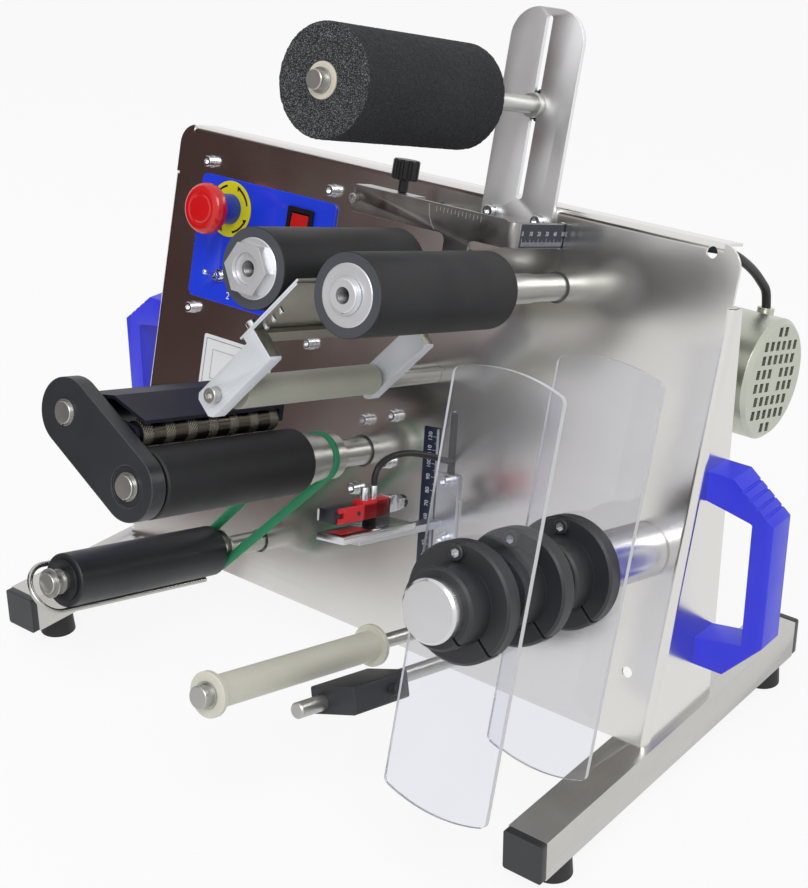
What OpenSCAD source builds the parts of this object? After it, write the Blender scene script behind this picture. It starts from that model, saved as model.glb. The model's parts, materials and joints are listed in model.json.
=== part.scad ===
// Semi-automatic labeling machine with a leaning front panel on two foot bars.
// X runs to the right, Z up, and the panel leans back towards +Y.
// On the panel, w is measured up its face from the lower edge and n forward of it.

/* [Stand] */
// Side of the square foot bars
bar_side = 30; // [26:1:36]
// Wall of the foot bars
bar_wall = 2; // [1.5:0.5:3]
// Length of a foot bar between its end caps
bar_len = 338; // [320:1:360]
// Reach of a foot bar in front of the panel's lower edge
bar_front = 123.5; // [115:0.5:135]
// Offset of a bar's centre line inwards from the panel's side
bar_inset = 11; // [9:0.5:13]
// Thickness of a bar's end cap
cap_t = 6; // [4:0.5:8]
// Height of a rubber foot
foot_h = 18; // [12:0.5:24]
// Diameter of a rubber foot at the floor
foot_d = 28; // [22:0.5:30]
// Distance of the front feet from the bar's front end
foot_front_inset = 30; // [20:1:50]
// Distance of the rear feet from the bar's rear end
foot_rear_inset = 19; // [16:1:40]

/* [Panel] */
// Width over the side flanges
panel_w = 510; // [506:1:520]
// Height of the face, measured along it
panel_h = 347; // [346:0.5:352]
// Lean of the face back from upright
panel_lean = 15; // [12:0.5:18]
// Thickness of the sheet
sheet_t = 2; // [1.5:0.1:2.5]
// Outer radius of the bends
bend_r = 6; // [4:0.5:8]
// Depth of the lip along the top edge
lip_depth = 25; // [18:1:30]
// Length of the lip
lip_len = 477; // [465:1:480]
// Corner radius of the ears beside the lip
ear_r = 16; // [10:0.5:20]
// Distance of the side flanges' ends below the panel's top edge
flange_drop = 41; // [37:1:52]
// Depth of the side flanges at the foot bars
flange_depth = 88.5; // [86:0.5:95]

/* [Handles] */
// Width of a handle
handle_w = 24; // [18:1:26]
// Height of a handle
handle_h = 150; // [130:1:165]
// Reach of a handle out from the flange
handle_reach = 50; // [40:1:60]
// Thickness of a handle's grip
grip_t = 15.5; // [12:0.5:18]
// Height of a handle's foot over the bars
handle_z = 39; // [30:1:50]
// Gap from a handle to the flange's rear edge
handle_rear_gap = 4.5; // [2:0.5:8]

/* [Press roller] */
// Place of the upright plate across the panel
upright_x = 79; // [78:0.5:80]
// Width of the upright plate
upright_w = 59; // [54:1:62]
// Thickness of the upright plate
upright_t = 3.5; // [2.5:0.5:4]
// Distance of the upright plate's lower edge below the panel's top edge
upright_drop = 29; // [25:1:35]
// Height of the upright plate's upper edge over the panel's top edge
upright_rise = 129; // [123:1:143]
// Width of the slot in the upright plate
upright_slot_w = 5; // [5:0.1:6]
// Height of the press roller's axis over the panel's top edge
press_rise = 63.5; // [58:0.5:69]
// Radius of the foam
foam_r = 34; // [28:0.5:36]
// Length of the foam
foam_len = 140; // [120:1:150]
// Distance of the foam from the panel's face
foam_from = 90; // [80:1:100]
// Radius of the press roller's shaft
press_shaft_r = 6; // [5:0.25:7]

/* [Positioning plate] */
// Left end of the plate
stop_left = -22; // [-26:0.5:-18]
// Outer face of the leg at its right end
stop_right = 117.5; // [116.5:0.5:119]
// Distance of the strip's lower edge below the panel's top edge
stop_drop = 29; // [28:0.5:31]
// Height of the strip
stop_h = 19; // [17:0.5:20]
// Thickness of the plate
stop_t = 3; // [2:0.5:3.5]
// Distance of its front face from the panel
stop_n = 60; // [56:1:66]
// Place of its guide rod across the panel
stop_rod_x = 13; // [8:0.5:16]
// Radius of its guide rod
stop_rod_r = 6; // [5:0.25:6.5]
// Radius of its thumb knob
thumb_r = 9.5; // [8:0.5:11]

/* [Controls] */
// Left edge of the control plate
control_left = -221.5; // [-224:0.5:-219]
// Distance of the control plate's lower edge below the panel's top edge
control_drop = 134; // [132:0.5:136]
// Width of the control plate
control_w = 140.5; // [138:0.5:144]
// Height of the control plate
control_h = 99; // [96:0.5:102]
// Place of the emergency stop from the plate's left edge
estop_dx = 34; // [30:0.5:38]
// Height of the emergency stop over the plate's lower edge
estop_dw = 75.5; // [70:0.5:76]
// Radius of the emergency stop's head
estop_r = 20; // [16:0.5:21]
// Place of the rocker switch from the plate's left edge
rocker_dx = 107; // [100:0.5:114]
// Height of the rocker switch over the plate's lower edge
rocker_dw = 74.5; // [68:0.5:78]
// Place of the toggle switch from the plate's left edge
toggle_dx = 33; // [28:0.5:40]
// Height of the toggle switch over the plate's lower edge
toggle_dw = 22; // [18:0.5:30]

/* [Drive rollers] */
// Place of the right drive roller across the panel
right_x = 119.5; // [119:0.5:121]
// Place of the left drive roller across the panel
left_x = 44.5; // [42:0.5:45]
// Distance of both drive rollers' axes below the panel's top edge
drive_drop = 54.5; // [53:0.5:56]
// Radius of the drive rollers
drive_r = 25.5; // [23:0.5:25.5]
// Radius of their aluminium cores
core_r = 19; // [17:0.5:20]
// Length of the drive rollers
drive_len = 142; // [130:1:150]
// Distance of the drive rollers from the panel's face
drive_from = 86; // [80:1:92]
// Radius of their shafts
drive_shaft_r = 9.5; // [8.5:0.25:10]

/* [Peel plate] */
// Place of the peel post across the panel
post_x = 29.5; // [28:0.5:31]
// Height of the peel post
post_w = 209.5; // [207:0.5:210]
// Radius of the peel post
post_r = 7.5; // [6.5:0.25:8.5]
// Angle of the peel arms over the horizontal
arm_angle = 49.8; // [48.5:0.1:50]
// Length of a peel arm above the post
arm_len = 51; // [46:1:56]
// Width of a peel arm
arm_w = 19; // [17:0.5:19]
// Thickness of a peel arm
arm_t = 11; // [8:0.5:12]
// Front face of the front peel arm
arm_front = 229; // [226:0.5:232]
// Back face of the rear peel arm
arm_rear = 61; // [56:0.5:66]
// Reach of the peel plate's edge from the post
peel_reach = 98; // [90:1:99]
// Radius of the peel roller
peel_roller_r = 10.5; // [9:0.5:12]

/* [Traction roller] */
// Place of the traction roller across the panel
traction_x = -23.5; // [-26:0.5:-22]
// Height of the traction roller
traction_w = 135.5; // [133:0.5:137]
// Radius of the traction roller
traction_r = 23.8; // [22:0.2:24.4]
// Front end of its rubber
traction_front = 228; // [224:1:228]
// Rear end of its rubber
traction_rear = 67; // [62:1:72]
// Radius of its rear shaft
traction_shaft_r = 10.8; // [10:0.2:11.5]
// Sideways offset of the nip arm's shaft from the traction roller
link_dx = -64; // [-66:0.5:-62]
// Rise of the nip arm's shaft over the traction roller
link_dw = 33; // [31:0.5:35]
// Radius of the link plate's ends
link_r = 23.5; // [20:0.5:25]
// Thickness of the link plate
link_t = 12; // [9:0.5:14]
// Back face of the link plate
link_n = 231; // [230.5:0.5:233]
// Radius of the nip roller
nip_r = 9.4; // [8:0.2:10]
// Direction of the nip roller from the traction roller
nip_angle = 117.8; // [115:0.2:120]

/* [Rewinder] */
// Place of the rewinder across the panel
rewind_x = -110.5; // [-116:0.5:-106]
// Height of the rewinder
rewind_w = 36.5; // [34:0.5:42]
// Radius of its rubber
rewind_r = 19.3; // [17:0.1:21]
// Rear end of its rubber
rewind_rear = 57; // [56:1:60]
// Front end of its rubber
rewind_front = 205; // [195:1:210]
// Radius of its shaft
rewind_shaft_r = 8; // [7:0.25:9]
// Diameter of the round belt
belt_d = 7; // [5:0.5:8]
// Distance of the round belt from the panel's face
belt_n = 51; // [49:0.5:52]
// Diameter of the clip's wire
clip_d = 4; // [3:0.25:4.5]

/* [Label spindle] */
// Place of the spindle across the panel
spindle_x = 224; // [222:0.5:225]
// Height of the spindle
spindle_w = 135; // [132:1:138]
// Radius of the spindle
spindle_r = 19.2; // [17:0.1:20]
// Length of the spindle
spindle_len = 246; // [240:1:250]
// Radius of the collars' flanges
collar_r = 36.5; // [33:0.5:38]
// Thickness of the collars' flanges
collar_t = 12.5; // [10:0.5:14]
// Radius of the collars' hubs
hub_r = 24.5; // [23:0.5:27]
// Length of the collars' hubs
hub_len = 20; // [16:1:22]
// Back face of the front collar
front_collar_n = 205; // [202:0.5:208]
// Back face of the middle collar
middle_collar_n = 147; // [142:0.5:152]
// Back face of the rear collar
rear_collar_n = 92.5; // [88:0.5:96]
// Width of the clear side plates
side_w = 76; // [70:1:80]
// Length of the clear side plates over their rounded ends
side_len = 274; // [262:1:274]
// Thickness of the clear side plates
side_t = 4; // [3:0.5:5]

/* [Guide roller and block] */
// Place of the lower guide roller across the panel
guide_x = 64.7; // [62:0.1:66]
// Height of the lower guide roller
guide_w = 23; // [21:0.5:24]
// Radius of its rims
guide_rim_r = 15.2; // [13:0.2:16]
// Radius of its tube
guide_tube_r = 10.8; // [9.8:0.1:12]
// Rear end of the roller
guide_rear = 68.4; // [64:0.2:72]
// Front end of the roller
guide_front = 238.2; // [232:0.2:240]
// Radius of its shaft
guide_shaft_r = 7.5; // [6.5:0.1:8]
// Place of the block's rod across the panel
rod_x = 96; // [95:0.5:100]
// Height of the block's rod
rod_w = 11.5; // [11:0.5:14]
// Radius of the block's rod
rod_r = 5.5; // [4.5:0.25:6]
// Length of the block's rod
rod_len = 185; // [180:1:200]
// Length of the block along its rod
block_len = 59; // [50:1:65]
// Back face of the block
block_n = 100; // [96:1:106]

/* [Sensor] */
// Place of the sensor slot's middle across the panel
slot_x = 64; // [63:0.5:66]
// Height of the sensor slot's middle
slot_w = 115.5; // [113:0.5:118]
// Lean of the slot to the left
slot_tilt = 7; // [5:0.2:9]
// Width of the slot
slot_d = 7; // [6.5:0.5:8]
// Reach of the slot above and below its middle
slot_reach = 72; // [68:1:75]
// Width of the ruler
ruler_w = 14; // [12:0.5:15]
// Height of the gap that the labels pass through
sensor_gap = 7; // [6:0.5:8]

/* [Motor] */
// Radius of the motor
motor_r = 42.4; // [38:0.2:44]
// Plane of the motor's grille across the panel
motor_end = 256; // [252:0.5:262]
// Drop of the motor's axis below the right roller's axis
worm_drop = 36.5; // [34:0.5:38]
// Distance of the motor's axis behind the face
motor_n = 78.5; // [77:0.5:82]

/* [Hidden] */
$fn = 64;

// Heights worked from the panel's top edge
flange_top = panel_h - flange_drop;
upright_low = panel_h - upright_drop;
upright_high = panel_h + upright_rise;
press_w = panel_h + press_rise;
stop_low = panel_h - stop_drop;
control_low = panel_h - control_drop;
drive_w = panel_h - drive_drop;

// Clearances: a running fit, a fit between faces, and the overrun of a cut
fit = 0.05;
gap = 0.25;
over = 1;
// Small broken edge of turned parts
edge = 0.5;

// Stand
stand_h = foot_h + bar_side;
bar_x = panel_w / 2 - bar_inset;
plug_len = 12;
foot_top_share = 0.9;
// Turned-in foot of a side flange
sole_w = 14;
sole_from = 6;
sole_to_share = 0.92;
// Face of the panel, started where its back clears the bars
face_from = sheet_t * tan(panel_lean);
flange_h = flange_top * cos(panel_lean);
ear_side_step = 3;
ear_relief = 2;
// Holes at the panel's right side
side_hole_r = 4;
side_hole_x = 230;
side_hole_ws = [48, 339.5];

// Handle outline as shares of its reach and height: outer corners, then the finger gap's
handle_shares = [[0, 0], [0.44, 0], [1, 0.207], [1, 0.827], [0.38, 1], [0, 1]];
finger_shares = [[0, 0.147], [1, 0.187], [1, 0.8], [0.957, 0.813], [0, 0.853]];

// Screws
screw_r = 2.5;
head_share = 1.7;
socket_share = 0.95;
washer_t = 1.2;
washer_share = 2;
nut_share = 1.8;
nut_h_share = 1.6;
screw_len = 12;
small_screw_r = 2;

// Circlips
clip_t = 1.2;
clip_rise = 1.6;

// Upright plate
upright_corner = 22;
upright_slot_from = 28;
upright_slot_margin = 5;
upright_slot_low = upright_low + upright_slot_from;
upright_slot_high = upright_high - upright_slot_margin;
upright_screw_gap = 40;
upright_screw_rise = 16;
upright_screw_w = upright_low + upright_screw_rise;
collar_step_r = 8.5;
collar_step_t = 5;
stud_play = 0.1;
press_shaft_proud = 8;
press_tip = foam_from + foam_len + press_shaft_proud;
foam_bush_r = 11;
bush_proud = 1;
knob_r = 11;
knob_t = 15;
knob_cut_r = 1.6;
knob_cuts = 10;

// Positioning plate
stop_corner = 4;
stop_bend_r = 5;
lobe_left = 62;
lobe_w = 20;
lobe_drop = 46;
lobe_fillet = 5;
scale_t = 0.6;
leg_inset = 1;
leg_rear = -6;
stop_block_w = 36;
stop_block_t = 16;
stop_rod_rear = -50;
stop_rod_w = stop_low + stop_h / 2 - 0.5 * stop_rod_r;
thumb_n = stop_n - stop_t - stop_block_t / 2;
thumb_stem_r = 3.4;
thumb_stem_h = 9;
thumb_h = 14;
thumb_screw_r = 2;
thumb_screw_len = 4;
bush_flange_t = 5;
bush_len = 18;
stop_screw_inset = 3.5;
stop_screw_x = stop_left + stop_screw_inset;

// Controls
control_t = 1.5;
control_corner = 5;
estop_x = control_left + estop_dx;
estop_w = control_low + estop_dw;
estop_ring_r = 22;
estop_ring_t = 0.8;
estop_shank_r = 12;
estop_shank_n = 20;
estop_stem_r = 10.5;
estop_head_n = 24.5;
estop_tip_n = 36;
estop_travel = 4;
estop_rim = 5;
estop_body_r = 11;
rocker_x = control_left + rocker_dx;
rocker_w = control_low + rocker_dw;
rocker_bezel = [25, 31];
rocker_window = [19, 25];
bezel_t = 2;
rocker_lift = 4.5;
rocker_sink = 6;
rocker_slope = 2.8;
rocker_wall = 1;
toggle_x = control_left + toggle_dx;
toggle_w = control_low + toggle_dw;
toggle_bush_r = 3.2;
toggle_bush_n = 9;
toggle_nut_r = 5.5;
toggle_nut_t = 2.2;
toggle_ball_r = 2;
toggle_len = 13;
toggle_tilt = 14;
toggle_root_r = 1.4;
toggle_tip_r = 2.2;
box_margin = 16;
box_depth = 70;
box_wall = 1.5;
box_post = 12;
box_post_depth = 14;
switch_depth = 26;
inlet_size = [48, 28];
inlet_t = 3;
inlet_depth = 18;
inlet_mouth = [26, 18];
inlet_pin_len = 9;
inlet_pin = [2, 4];
inlet_pin_gap = 7;
inlet_x = control_left + control_w / 2;

// Drive rollers and what turns them
drive_step_n = 35;
drive_step = 0.7;
shaft_bite = 24;
drive_step_r = drive_shaft_r + drive_step;
drive_front = drive_from + drive_len;
drive_tip = 4.5;
drive_tip_r = 10;
thread_r = 5.1;
thread_len = 20;
hex_r = 17;
hex_t = 7;
hole_play = 1.5;
housing_flange_r = 22;
housing_flange_t = 5;
housing_hub_r = 15;
housing_t = 14;
pulley_r = 15;
pulley_flange_r = 18;
pulley_flange_t = 1.2;
pulley_t = 12;
pulley_a_n = -20;
pulley_b_n = -34;
timing_belt_t = 2;
pulley_play = 0.3;
gearbox_front = -50;
gearbox_rear = 2 * -motor_n - gearbox_front;
gearbox_w = 80;
gearbox_left = right_x - gearbox_w / 2;
gearbox_low_r = 25;
gearbox_high = 33;
gearbox_corner = 8;
motor_w = drive_w - worm_drop;
gearbox_neck = 9;
gearbox_neck_r = 36;
standoff_r = 5;
standoff_inset = 6.5;
grille_cols = [2, 6, 6, 6, 6, 6, 6, 2];
grille_pitch = [9.6, 8.8];
grille_hole = [5.4, 6.6];
grille_depth = 5;
grille_hub_r = 9;
grille_hub_shift = 4.4;
motor_rim = 3;
gland_r = 6;
gland_h = 9;
motor_lead_r = 3.25;
motor_lead_x = 231;
gland_n = -97;
gland_rise = 2;
motor_lead_from = motor_w + motor_r + gland_rise;

// Peel assembly
stud_r = 5;
arm_low = 14;
arm_corner = 3;
arm_top_t = 4.5;
arm_bar_w = 10;
peel_t = 1.5;
peel_lap = 12.5;
peel_from = arm_len - peel_lap;
peel_roller_rear_gap = 1.5;
peel_roller_front_gap = 8;
peel_roller_from = arm_rear + arm_t + peel_roller_rear_gap;
peel_roller_to = arm_front - arm_t - peel_roller_front_gap;
post_screw_r = 3;
peel_tip_screw = 9;

// Traction roller, link plate and nip
traction_core_r = 19;
pulley_front_r = 17.5;
pulley_front_n = 38;
traction_belt_r = 16;
journal_r = 8;
journal_n = 246;
link_len = sqrt(link_dx * link_dx + link_dw * link_dw);
link_angle = atan2(link_dw, link_dx);
link_x = traction_x + link_dx;
link_w = traction_w + link_dw;
recess_r = 14;
recess_depth = 1.5;
support_r = 7.5;
nip_dist = traction_r + nip_r + gap;
nip_x = traction_x + nip_dist * cos(nip_angle);
nip_w = traction_w + nip_dist * sin(nip_angle);
nip_from = 94;
nip_to = 226;
nip_pin_r = 3;
nip_bands = 7;
nip_band_w = 9;
nip_band_rise = 0.35;
cheek_t = 4;
front_cheek_t = 3;
boss_r = 12;
// Corners of the bent cover over the nip roller, from the nip arm's shaft
cover_bend = [26, 17];
cover_end = [57, 8];
cover_t = 2.5;
block_plate = [54, 86];
block_plate_t = 12;
block_plate_at = [-10.5, 138];
block_screws = [[-23, 160], [2.5, 170], [2.5, 134], [-23.5, 106]];

// Rewinder and belt
rewind_core_r = 15;
rewind_belt_r = 13.5;
rewind_pulley_r = 15;
rewind_pulley_n = 45;
rewind_tip_r = 7.5;
rewind_tip = 221;
clip_leg_angles = [-75, 165];
clip_leg_from = 64;
groove_play = 0.2;
belt_steps = 12;

// Label spindle
spindle_edge = 1.5;
spindle_journal_r = 10;
spindle_housing_t = 22;
spindle_nut_r = 13;
slit_w = 2;
slit_angle = -40;
collar_edge = 1.5;
collar_screw_r = 3;
collar_screw_at = 30;
collar_screw_angles = [100, 215];
side_sagitta = 7;
side_corner = 5;
side_screw_r = 2;

// Guide roller, rod and block
guide_rim_t = 4;
guide_tip = 246.8;
guide_step_n = 62;
guide_stud_r = 5.2;
block_size = [37, 18.7];
block_turn = 19;
block_rod_at = [-10, -1.5];
block_corner = 2;
block_screw_n = 18;

// Sensor
ruler_u = -19.5;
ruler_low = -74;
ruler_high = 58;
ruler_t = 1;
foot_size = [18, 52];
foot_t = 3;
foot_screw_v = 21.5;
backing_t = 4;
backing_inset = 6;
sensor_u = -9.5;
sensor_size = [24, 61];
sensor_front = 125;
jaw_high_w = 16;
sensor_low = -9;
jaw_low_t = 5;
jaw_high_t = 16;
sensor_root = 16;
sensor_bar = [12, 5];
sensor_bar_to = 100;
sensor_neck = 20;
stud_h = 6;
sensor_stud_r = 2.6;
sensor_stud_ns = [80, 90];
sensor_lead_r = 2.3;
// Route of the sensor's lead on the panel as x, n and w, from the sensor to the electrical box
sensor_route = [
  [52, 80, 140], [51.5, 80, 147], [51.5, 76, 154], [52.5, 65, 159], [54, 48, 160], [56, 31, 157.5],
  [58, 16, 154], [59.6, 2, 151], [59.6, -10, 150], [52, -20, 156], [36, -24, 170], [6, -24, 189],
  [-40, -24, 202], [-80, -24, 214]
];
// Route of the motor's lead as x, n and distance below the panel's top edge, from its gland to the box
motor_drops = [
  [231, -97, 41], [230.5, -92, 35], [230, -82, 28], [230, -68, 21], [230, -52, 15], [229, -36, 10],
  [224, -23, 7], [212, -15, 7], [190, -13, 7], [120, -13, 7], [40, -13, 7], [-30, -13, 9],
  [-62, -16, 19], [-80, -20, 29]
];
motor_route = [for (p = motor_drops) [p.x, p.y, panel_h - p.z]];

// Place of the panel's lower front edge, so that the machine is centred front to back
front_reach = guide_tip * cos(panel_lean) - (guide_w - guide_shaft_r) * sin(panel_lean);
rear_reach = bar_len - bar_front + cap_t;
panel_y = (front_reach - rear_reach) / 2;

// Frames

module on_panel() translate([0, panel_y, stand_h]) rotate([-panel_lean, 0, 0]) children();

module along_n(x, w, n = 0) translate([x, -n, w]) rotate([90, 0, 0]) children();

module on_slot(u, v, n = 0)
  translate([slot_x, 0, slot_w]) rotate([0, -slot_tilt, 0]) along_n(u, v, n) children();

module on_arms(n = 0) along_n(post_x, post_w, n) rotate(arm_angle) children();

module both_sides() for (side = [-1, 1]) translate([side * bar_x, panel_y, 0]) children();

// Shapes

module turned(r, from, to, e = edge)
  rotate_extrude() polygon([[0, from], [r - e, from], [r, from + e], [r, to - e], [r - e, to], [0, to]]);

module sleeve(r, bore, from, to, e = edge)
  rotate_extrude() polygon([[bore, from], [r - e, from], [r, from + e], [r, to - e], [r - e, to], [bore, to]]);

module rounded(size, r) {
  square([size.x, size.y - 2 * r], center = true);
  square([size.x - 2 * r, size.y], center = true);
  for (sx = [-1, 1], sy = [-1, 1]) translate([sx * (size.x / 2 - r), sy * (size.y / 2 - r)]) circle(r);
}

module stadium(r, reach) {
  square([2 * r, 2 * reach], center = true);
  for (s = [-1, 1]) translate([0, s * reach]) circle(r);
}

module bore(r, from, to) translate([0, 0, from]) cylinder(r = r, h = to - from);

// A cap screw whose seat is at zero and whose shank runs back from it
module cap_screw(r = screw_r, len = screw_len) {
  head_r = r * head_share;
  head_h = 2 * r;
  difference() {
    rotate_extrude() polygon([
      [0, -len], [r, -len], [r, 0], [head_r, 0], [head_r, head_h - edge], [head_r - edge, head_h], [0, head_h]
    ]);
    translate([0, 0, head_h - r]) cylinder(r = r * socket_share, h = r + over, $fn = 6);
  }
}

module washer(r = screw_r) sleeve(r * washer_share, r + fit, 0, washer_t, edge / 2);

module nut(r) difference() {
  cylinder(r = r * nut_share, h = r * nut_h_share, $fn = 6);
  bore(r + fit, -over, r * nut_h_share + over);
}

// A snap ring in front of what runs on a shaft
module circlip(r, n) translate([0, 0, n]) difference() {
  cylinder(r = r + clip_rise, h = clip_t);
  bore(r + fit, -over, clip_t + over);
  translate([-clip_rise / 2, -r - 2 * clip_rise, -over]) cube([clip_rise, 2 * clip_rise, clip_t + 2 * over]);
}

// A stud that passes the panel, with its nut behind
module panel_stud(r) {
  translate([0, 0, -sheet_t - r * nut_h_share - over]) cylinder(r = r, h = sheet_t + r * nut_h_share + over);
}

module panel_nut(r) translate([0, 0, -sheet_t - r * nut_h_share]) nut(r);

// A ridged knob turned about Z, cut from its outside by flutes
module ridged(r, from, to) difference() {
  turned(r, from, to, 2 * edge);
  for (i = [0 : knob_cuts - 1]) rotate(i * 360 / knob_cuts) translate([r, 0, 0]) bore(knob_cut_r, from - over, to + over);
}

// A tube swept through points as one closed mesh, with rings square to the mean direction
sides = 8;
function unit(v) = v / norm(v);
function heading(p, i) = unit(p[min(i + 1, len(p) - 1)] - p[max(i - 1, 0)]);
steep = 0.9;
function side_of(d) = abs(d.z) > steep ? unit(cross(d, [0, 1, 0])) : unit(cross(d, [0, 0, 1]));
function ring(c, d, r) = let (a = side_of(d), b = cross(d, a))
  [for (k = [0 : sides - 1]) c + r * (a * cos(k * 360 / sides) + b * sin(k * 360 / sides))];
function spline(p, i, t) = let (
    a = p[max(i - 1, 0)], b = p[i], c = p[i + 1], d = p[min(i + 2, len(p) - 1)]
  ) 0.5 * (2 * b + (c - a) * t + (2 * a - 5 * b + 4 * c - d) * t * t + (3 * b - a - 3 * c + d) * t * t * t);
function smooth(p, steps) = concat(
  [for (i = [0 : len(p) - 2], s = [0 : steps - 1]) spline(p, i, s / steps)], [p[len(p) - 1]]);
function on_face(p) = [p.x, -p.y, p.z];

module tube(points, r, steps) {
  p = smooth([for (q = points) on_face(q)], steps);
  n = len(p);
  verts = [for (i = [0 : n - 1]) each ring(p[i], heading(p, i), r)];
  walls = [for (i = [0 : n - 2], k = [0 : sides - 1]) let (a = i * sides + k, b = i * sides + (k + 1) % sides)
    each [[a, b, b + sides], [a, b + sides, a + sides]]];
  first = [for (k = [1 : sides - 2]) [0, k + 1, k]];
  last = [for (k = [1 : sides - 2]) [(n - 1) * sides, (n - 1) * sides + k, (n - 1) * sides + k + 1]];
  polyhedron(verts, concat(walls, first, last));
}

// The same along a closed path
module hoop(p, r) {
  n = len(p);
  verts = [for (i = [0 : n - 1]) each ring(p[i], unit(p[(i + 1) % n] - p[(i + n - 1) % n]), r)];
  polyhedron(verts, [for (i = [0 : n - 1], k = [0 : sides - 1])
    let (a = i * sides, b = ((i + 1) % n) * sides, next = (k + 1) % sides)
    each [[a + k, a + next, b + next], [a + k, b + next, b + k]]]);
}

// Stand

module foot_bar(side) translate([side * bar_x - bar_side / 2, panel_y - bar_front, foot_h]) difference() {
  cube([bar_side, bar_len, bar_side]);
  translate([bar_wall, -over, bar_wall])
    cube([bar_side - 2 * bar_wall, bar_len + 2 * over, bar_side - 2 * bar_wall]);
  for (y = sole_screw_ys()) translate([bar_side / 2, bar_front + y, bar_side - bar_wall])
    bore(screw_r + fit, -over, bar_wall + over);
}
function sole_screw_ys() = [sole_from + sole_w / 2, flange_depth * sole_to_share - sole_w / 2];

module foot_bar_left() color("silver") foot_bar(-1);
module foot_bar_right() color("silver") foot_bar(1);

module bar_end_caps() color("#22242a") both_sides() {
  plug = bar_side - 2 * bar_wall - 2 * fit;
  for (end = [0, 1]) translate([0, -bar_front + end * bar_len, foot_h + bar_side / 2])
    rotate([90, 0, end * 180]) {
      linear_extrude(cap_t) rounded([bar_side, bar_side], bar_wall);
      translate([0, 0, -plug_len]) linear_extrude(plug_len) square(plug, center = true);
    }
}

module rubber_feet() color("#1c1d20") both_sides()
  for (y = [-bar_front + foot_front_inset, bar_len - bar_front - foot_rear_inset]) translate([0, y, 0])
    cylinder(r1 = foot_d / 2, r2 = foot_d / 2 * foot_top_share, h = foot_h);

// Panel

module bent_block(w, d, r) {
  translate([-w / 2, r]) square([w, d - r]);
  translate([-w / 2 + r, 0]) square([w - 2 * r, d]);
  for (s = [-1, 1]) translate([s * (w / 2 - r), r]) circle(r);
}

module flange_section() difference() {
  bent_block(panel_w, flange_depth, bend_r);
  translate([0, sheet_t]) bent_block(panel_w - 2 * sheet_t, flange_depth, bend_r - sheet_t);
}

module flange_side() {
  r = bend_r / 2;
  translate([-bend_r, 0]) square([flange_depth + bend_r, flange_h - r]);
  translate([-bend_r, 0]) square([flange_depth + bend_r - r, flange_h]);
  translate([flange_depth - r, flange_h - r]) circle(r);
}

module flanges() intersection() {
  on_panel() linear_extrude(flange_top + bend_r) flange_section();
  translate([0, panel_y, stand_h]) rotate([90, 0, 90]) linear_extrude(panel_w + over, center = true) flange_side();
}

module soles() for (side = [-1, 1])
  translate([side * (panel_w / 2 - sheet_t - sole_w / 2), panel_y + sole_from, stand_h])
    translate([-sole_w / 2, 0, 0]) cube([sole_w, flange_depth * sole_to_share - sole_from, sheet_t]);

module face_outline() {
  inner_w = panel_w - 2 * bend_r;
  ear_w = inner_w + 2 * ear_side_step;
  ear_from = flange_top + ear_relief;
  difference() {
    union() {
      translate([-inner_w / 2, face_from]) square([inner_w, panel_h - ear_r - face_from]);
      translate([-ear_w / 2, ear_from]) square([ear_w, panel_h - ear_r - ear_from]);
      translate([-ear_w / 2 + ear_r, ear_from]) square([ear_w - 2 * ear_r, panel_h - ear_from]);
      for (s = [-1, 1]) translate([s * (ear_w / 2 - ear_r), panel_h - ear_r]) circle(ear_r);
    }
    translate([-lip_len / 2, panel_h - bend_r]) square([lip_len, bend_r + over]);
  }
}

module lip_section() {
  difference() {
    translate([bend_r, panel_h - bend_r]) circle(bend_r);
    translate([bend_r, panel_h - bend_r]) circle(bend_r - sheet_t);
    translate([bend_r, panel_h - 3 * bend_r]) square([2 * bend_r, 4 * bend_r]);
    translate([-over, panel_h - 3 * bend_r]) square([2 * bend_r, 2 * bend_r]);
  }
  translate([bend_r, panel_h - sheet_t]) square([lip_depth - bend_r, sheet_t]);
}

module lip() rotate([90, 0, 90]) linear_extrude(lip_len, center = true) lip_section();

// Every hole through the face, all cut along n
module face_holes() {
  for (w = side_hole_ws) along_n(side_hole_x, w) bore(side_hole_r, -sheet_t - over, over);
  for (x = [left_x, right_x]) along_n(x, drive_w) bore(drive_shaft_r + hole_play, -sheet_t - over, over);
  along_n(traction_x, traction_w) bore(traction_shaft_r + hole_play, -sheet_t - over, over);
  along_n(rewind_x, rewind_w) bore(rewind_shaft_r + hole_play, -sheet_t - over, over);
  along_n(spindle_x, spindle_w) bore(spindle_journal_r + hole_play, -sheet_t - over, over);
  along_n(stop_rod_x, stop_rod_w) bore(stop_rod_r + hole_play / 2, -sheet_t - over, over);
  along_n(post_x, post_w) bore(stud_r + fit, -sheet_t - over, over);
  along_n(link_x, link_w) bore(stud_r + fit, -sheet_t - over, over);
  along_n(guide_x, guide_w) bore(guide_stud_r + fit, -sheet_t - over, over);
  along_n(rod_x, rod_w) bore(rod_r + fit, -sheet_t - over, over);
  leg_hole();
  on_slot(0, 0, -sheet_t - over) linear_extrude(sheet_t + 2 * over) stadium(slot_d / 2, slot_reach - slot_d / 2);
  control_holes(over);
  for (p = screw_places()) along_n(p.x, p.y) bore(screw_r + fit, -sheet_t - over, over);
}

module leg_hole() {
  leg_w = stop_t + scale_t + 2 * hole_play / 2;
  translate([stop_right + scale_t + hole_play / 2 - leg_w, -over, stop_low + leg_inset - hole_play / 2])
    cube([leg_w, sheet_t + 2 * over, stop_h - 2 * leg_inset + hole_play]);
}

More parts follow.
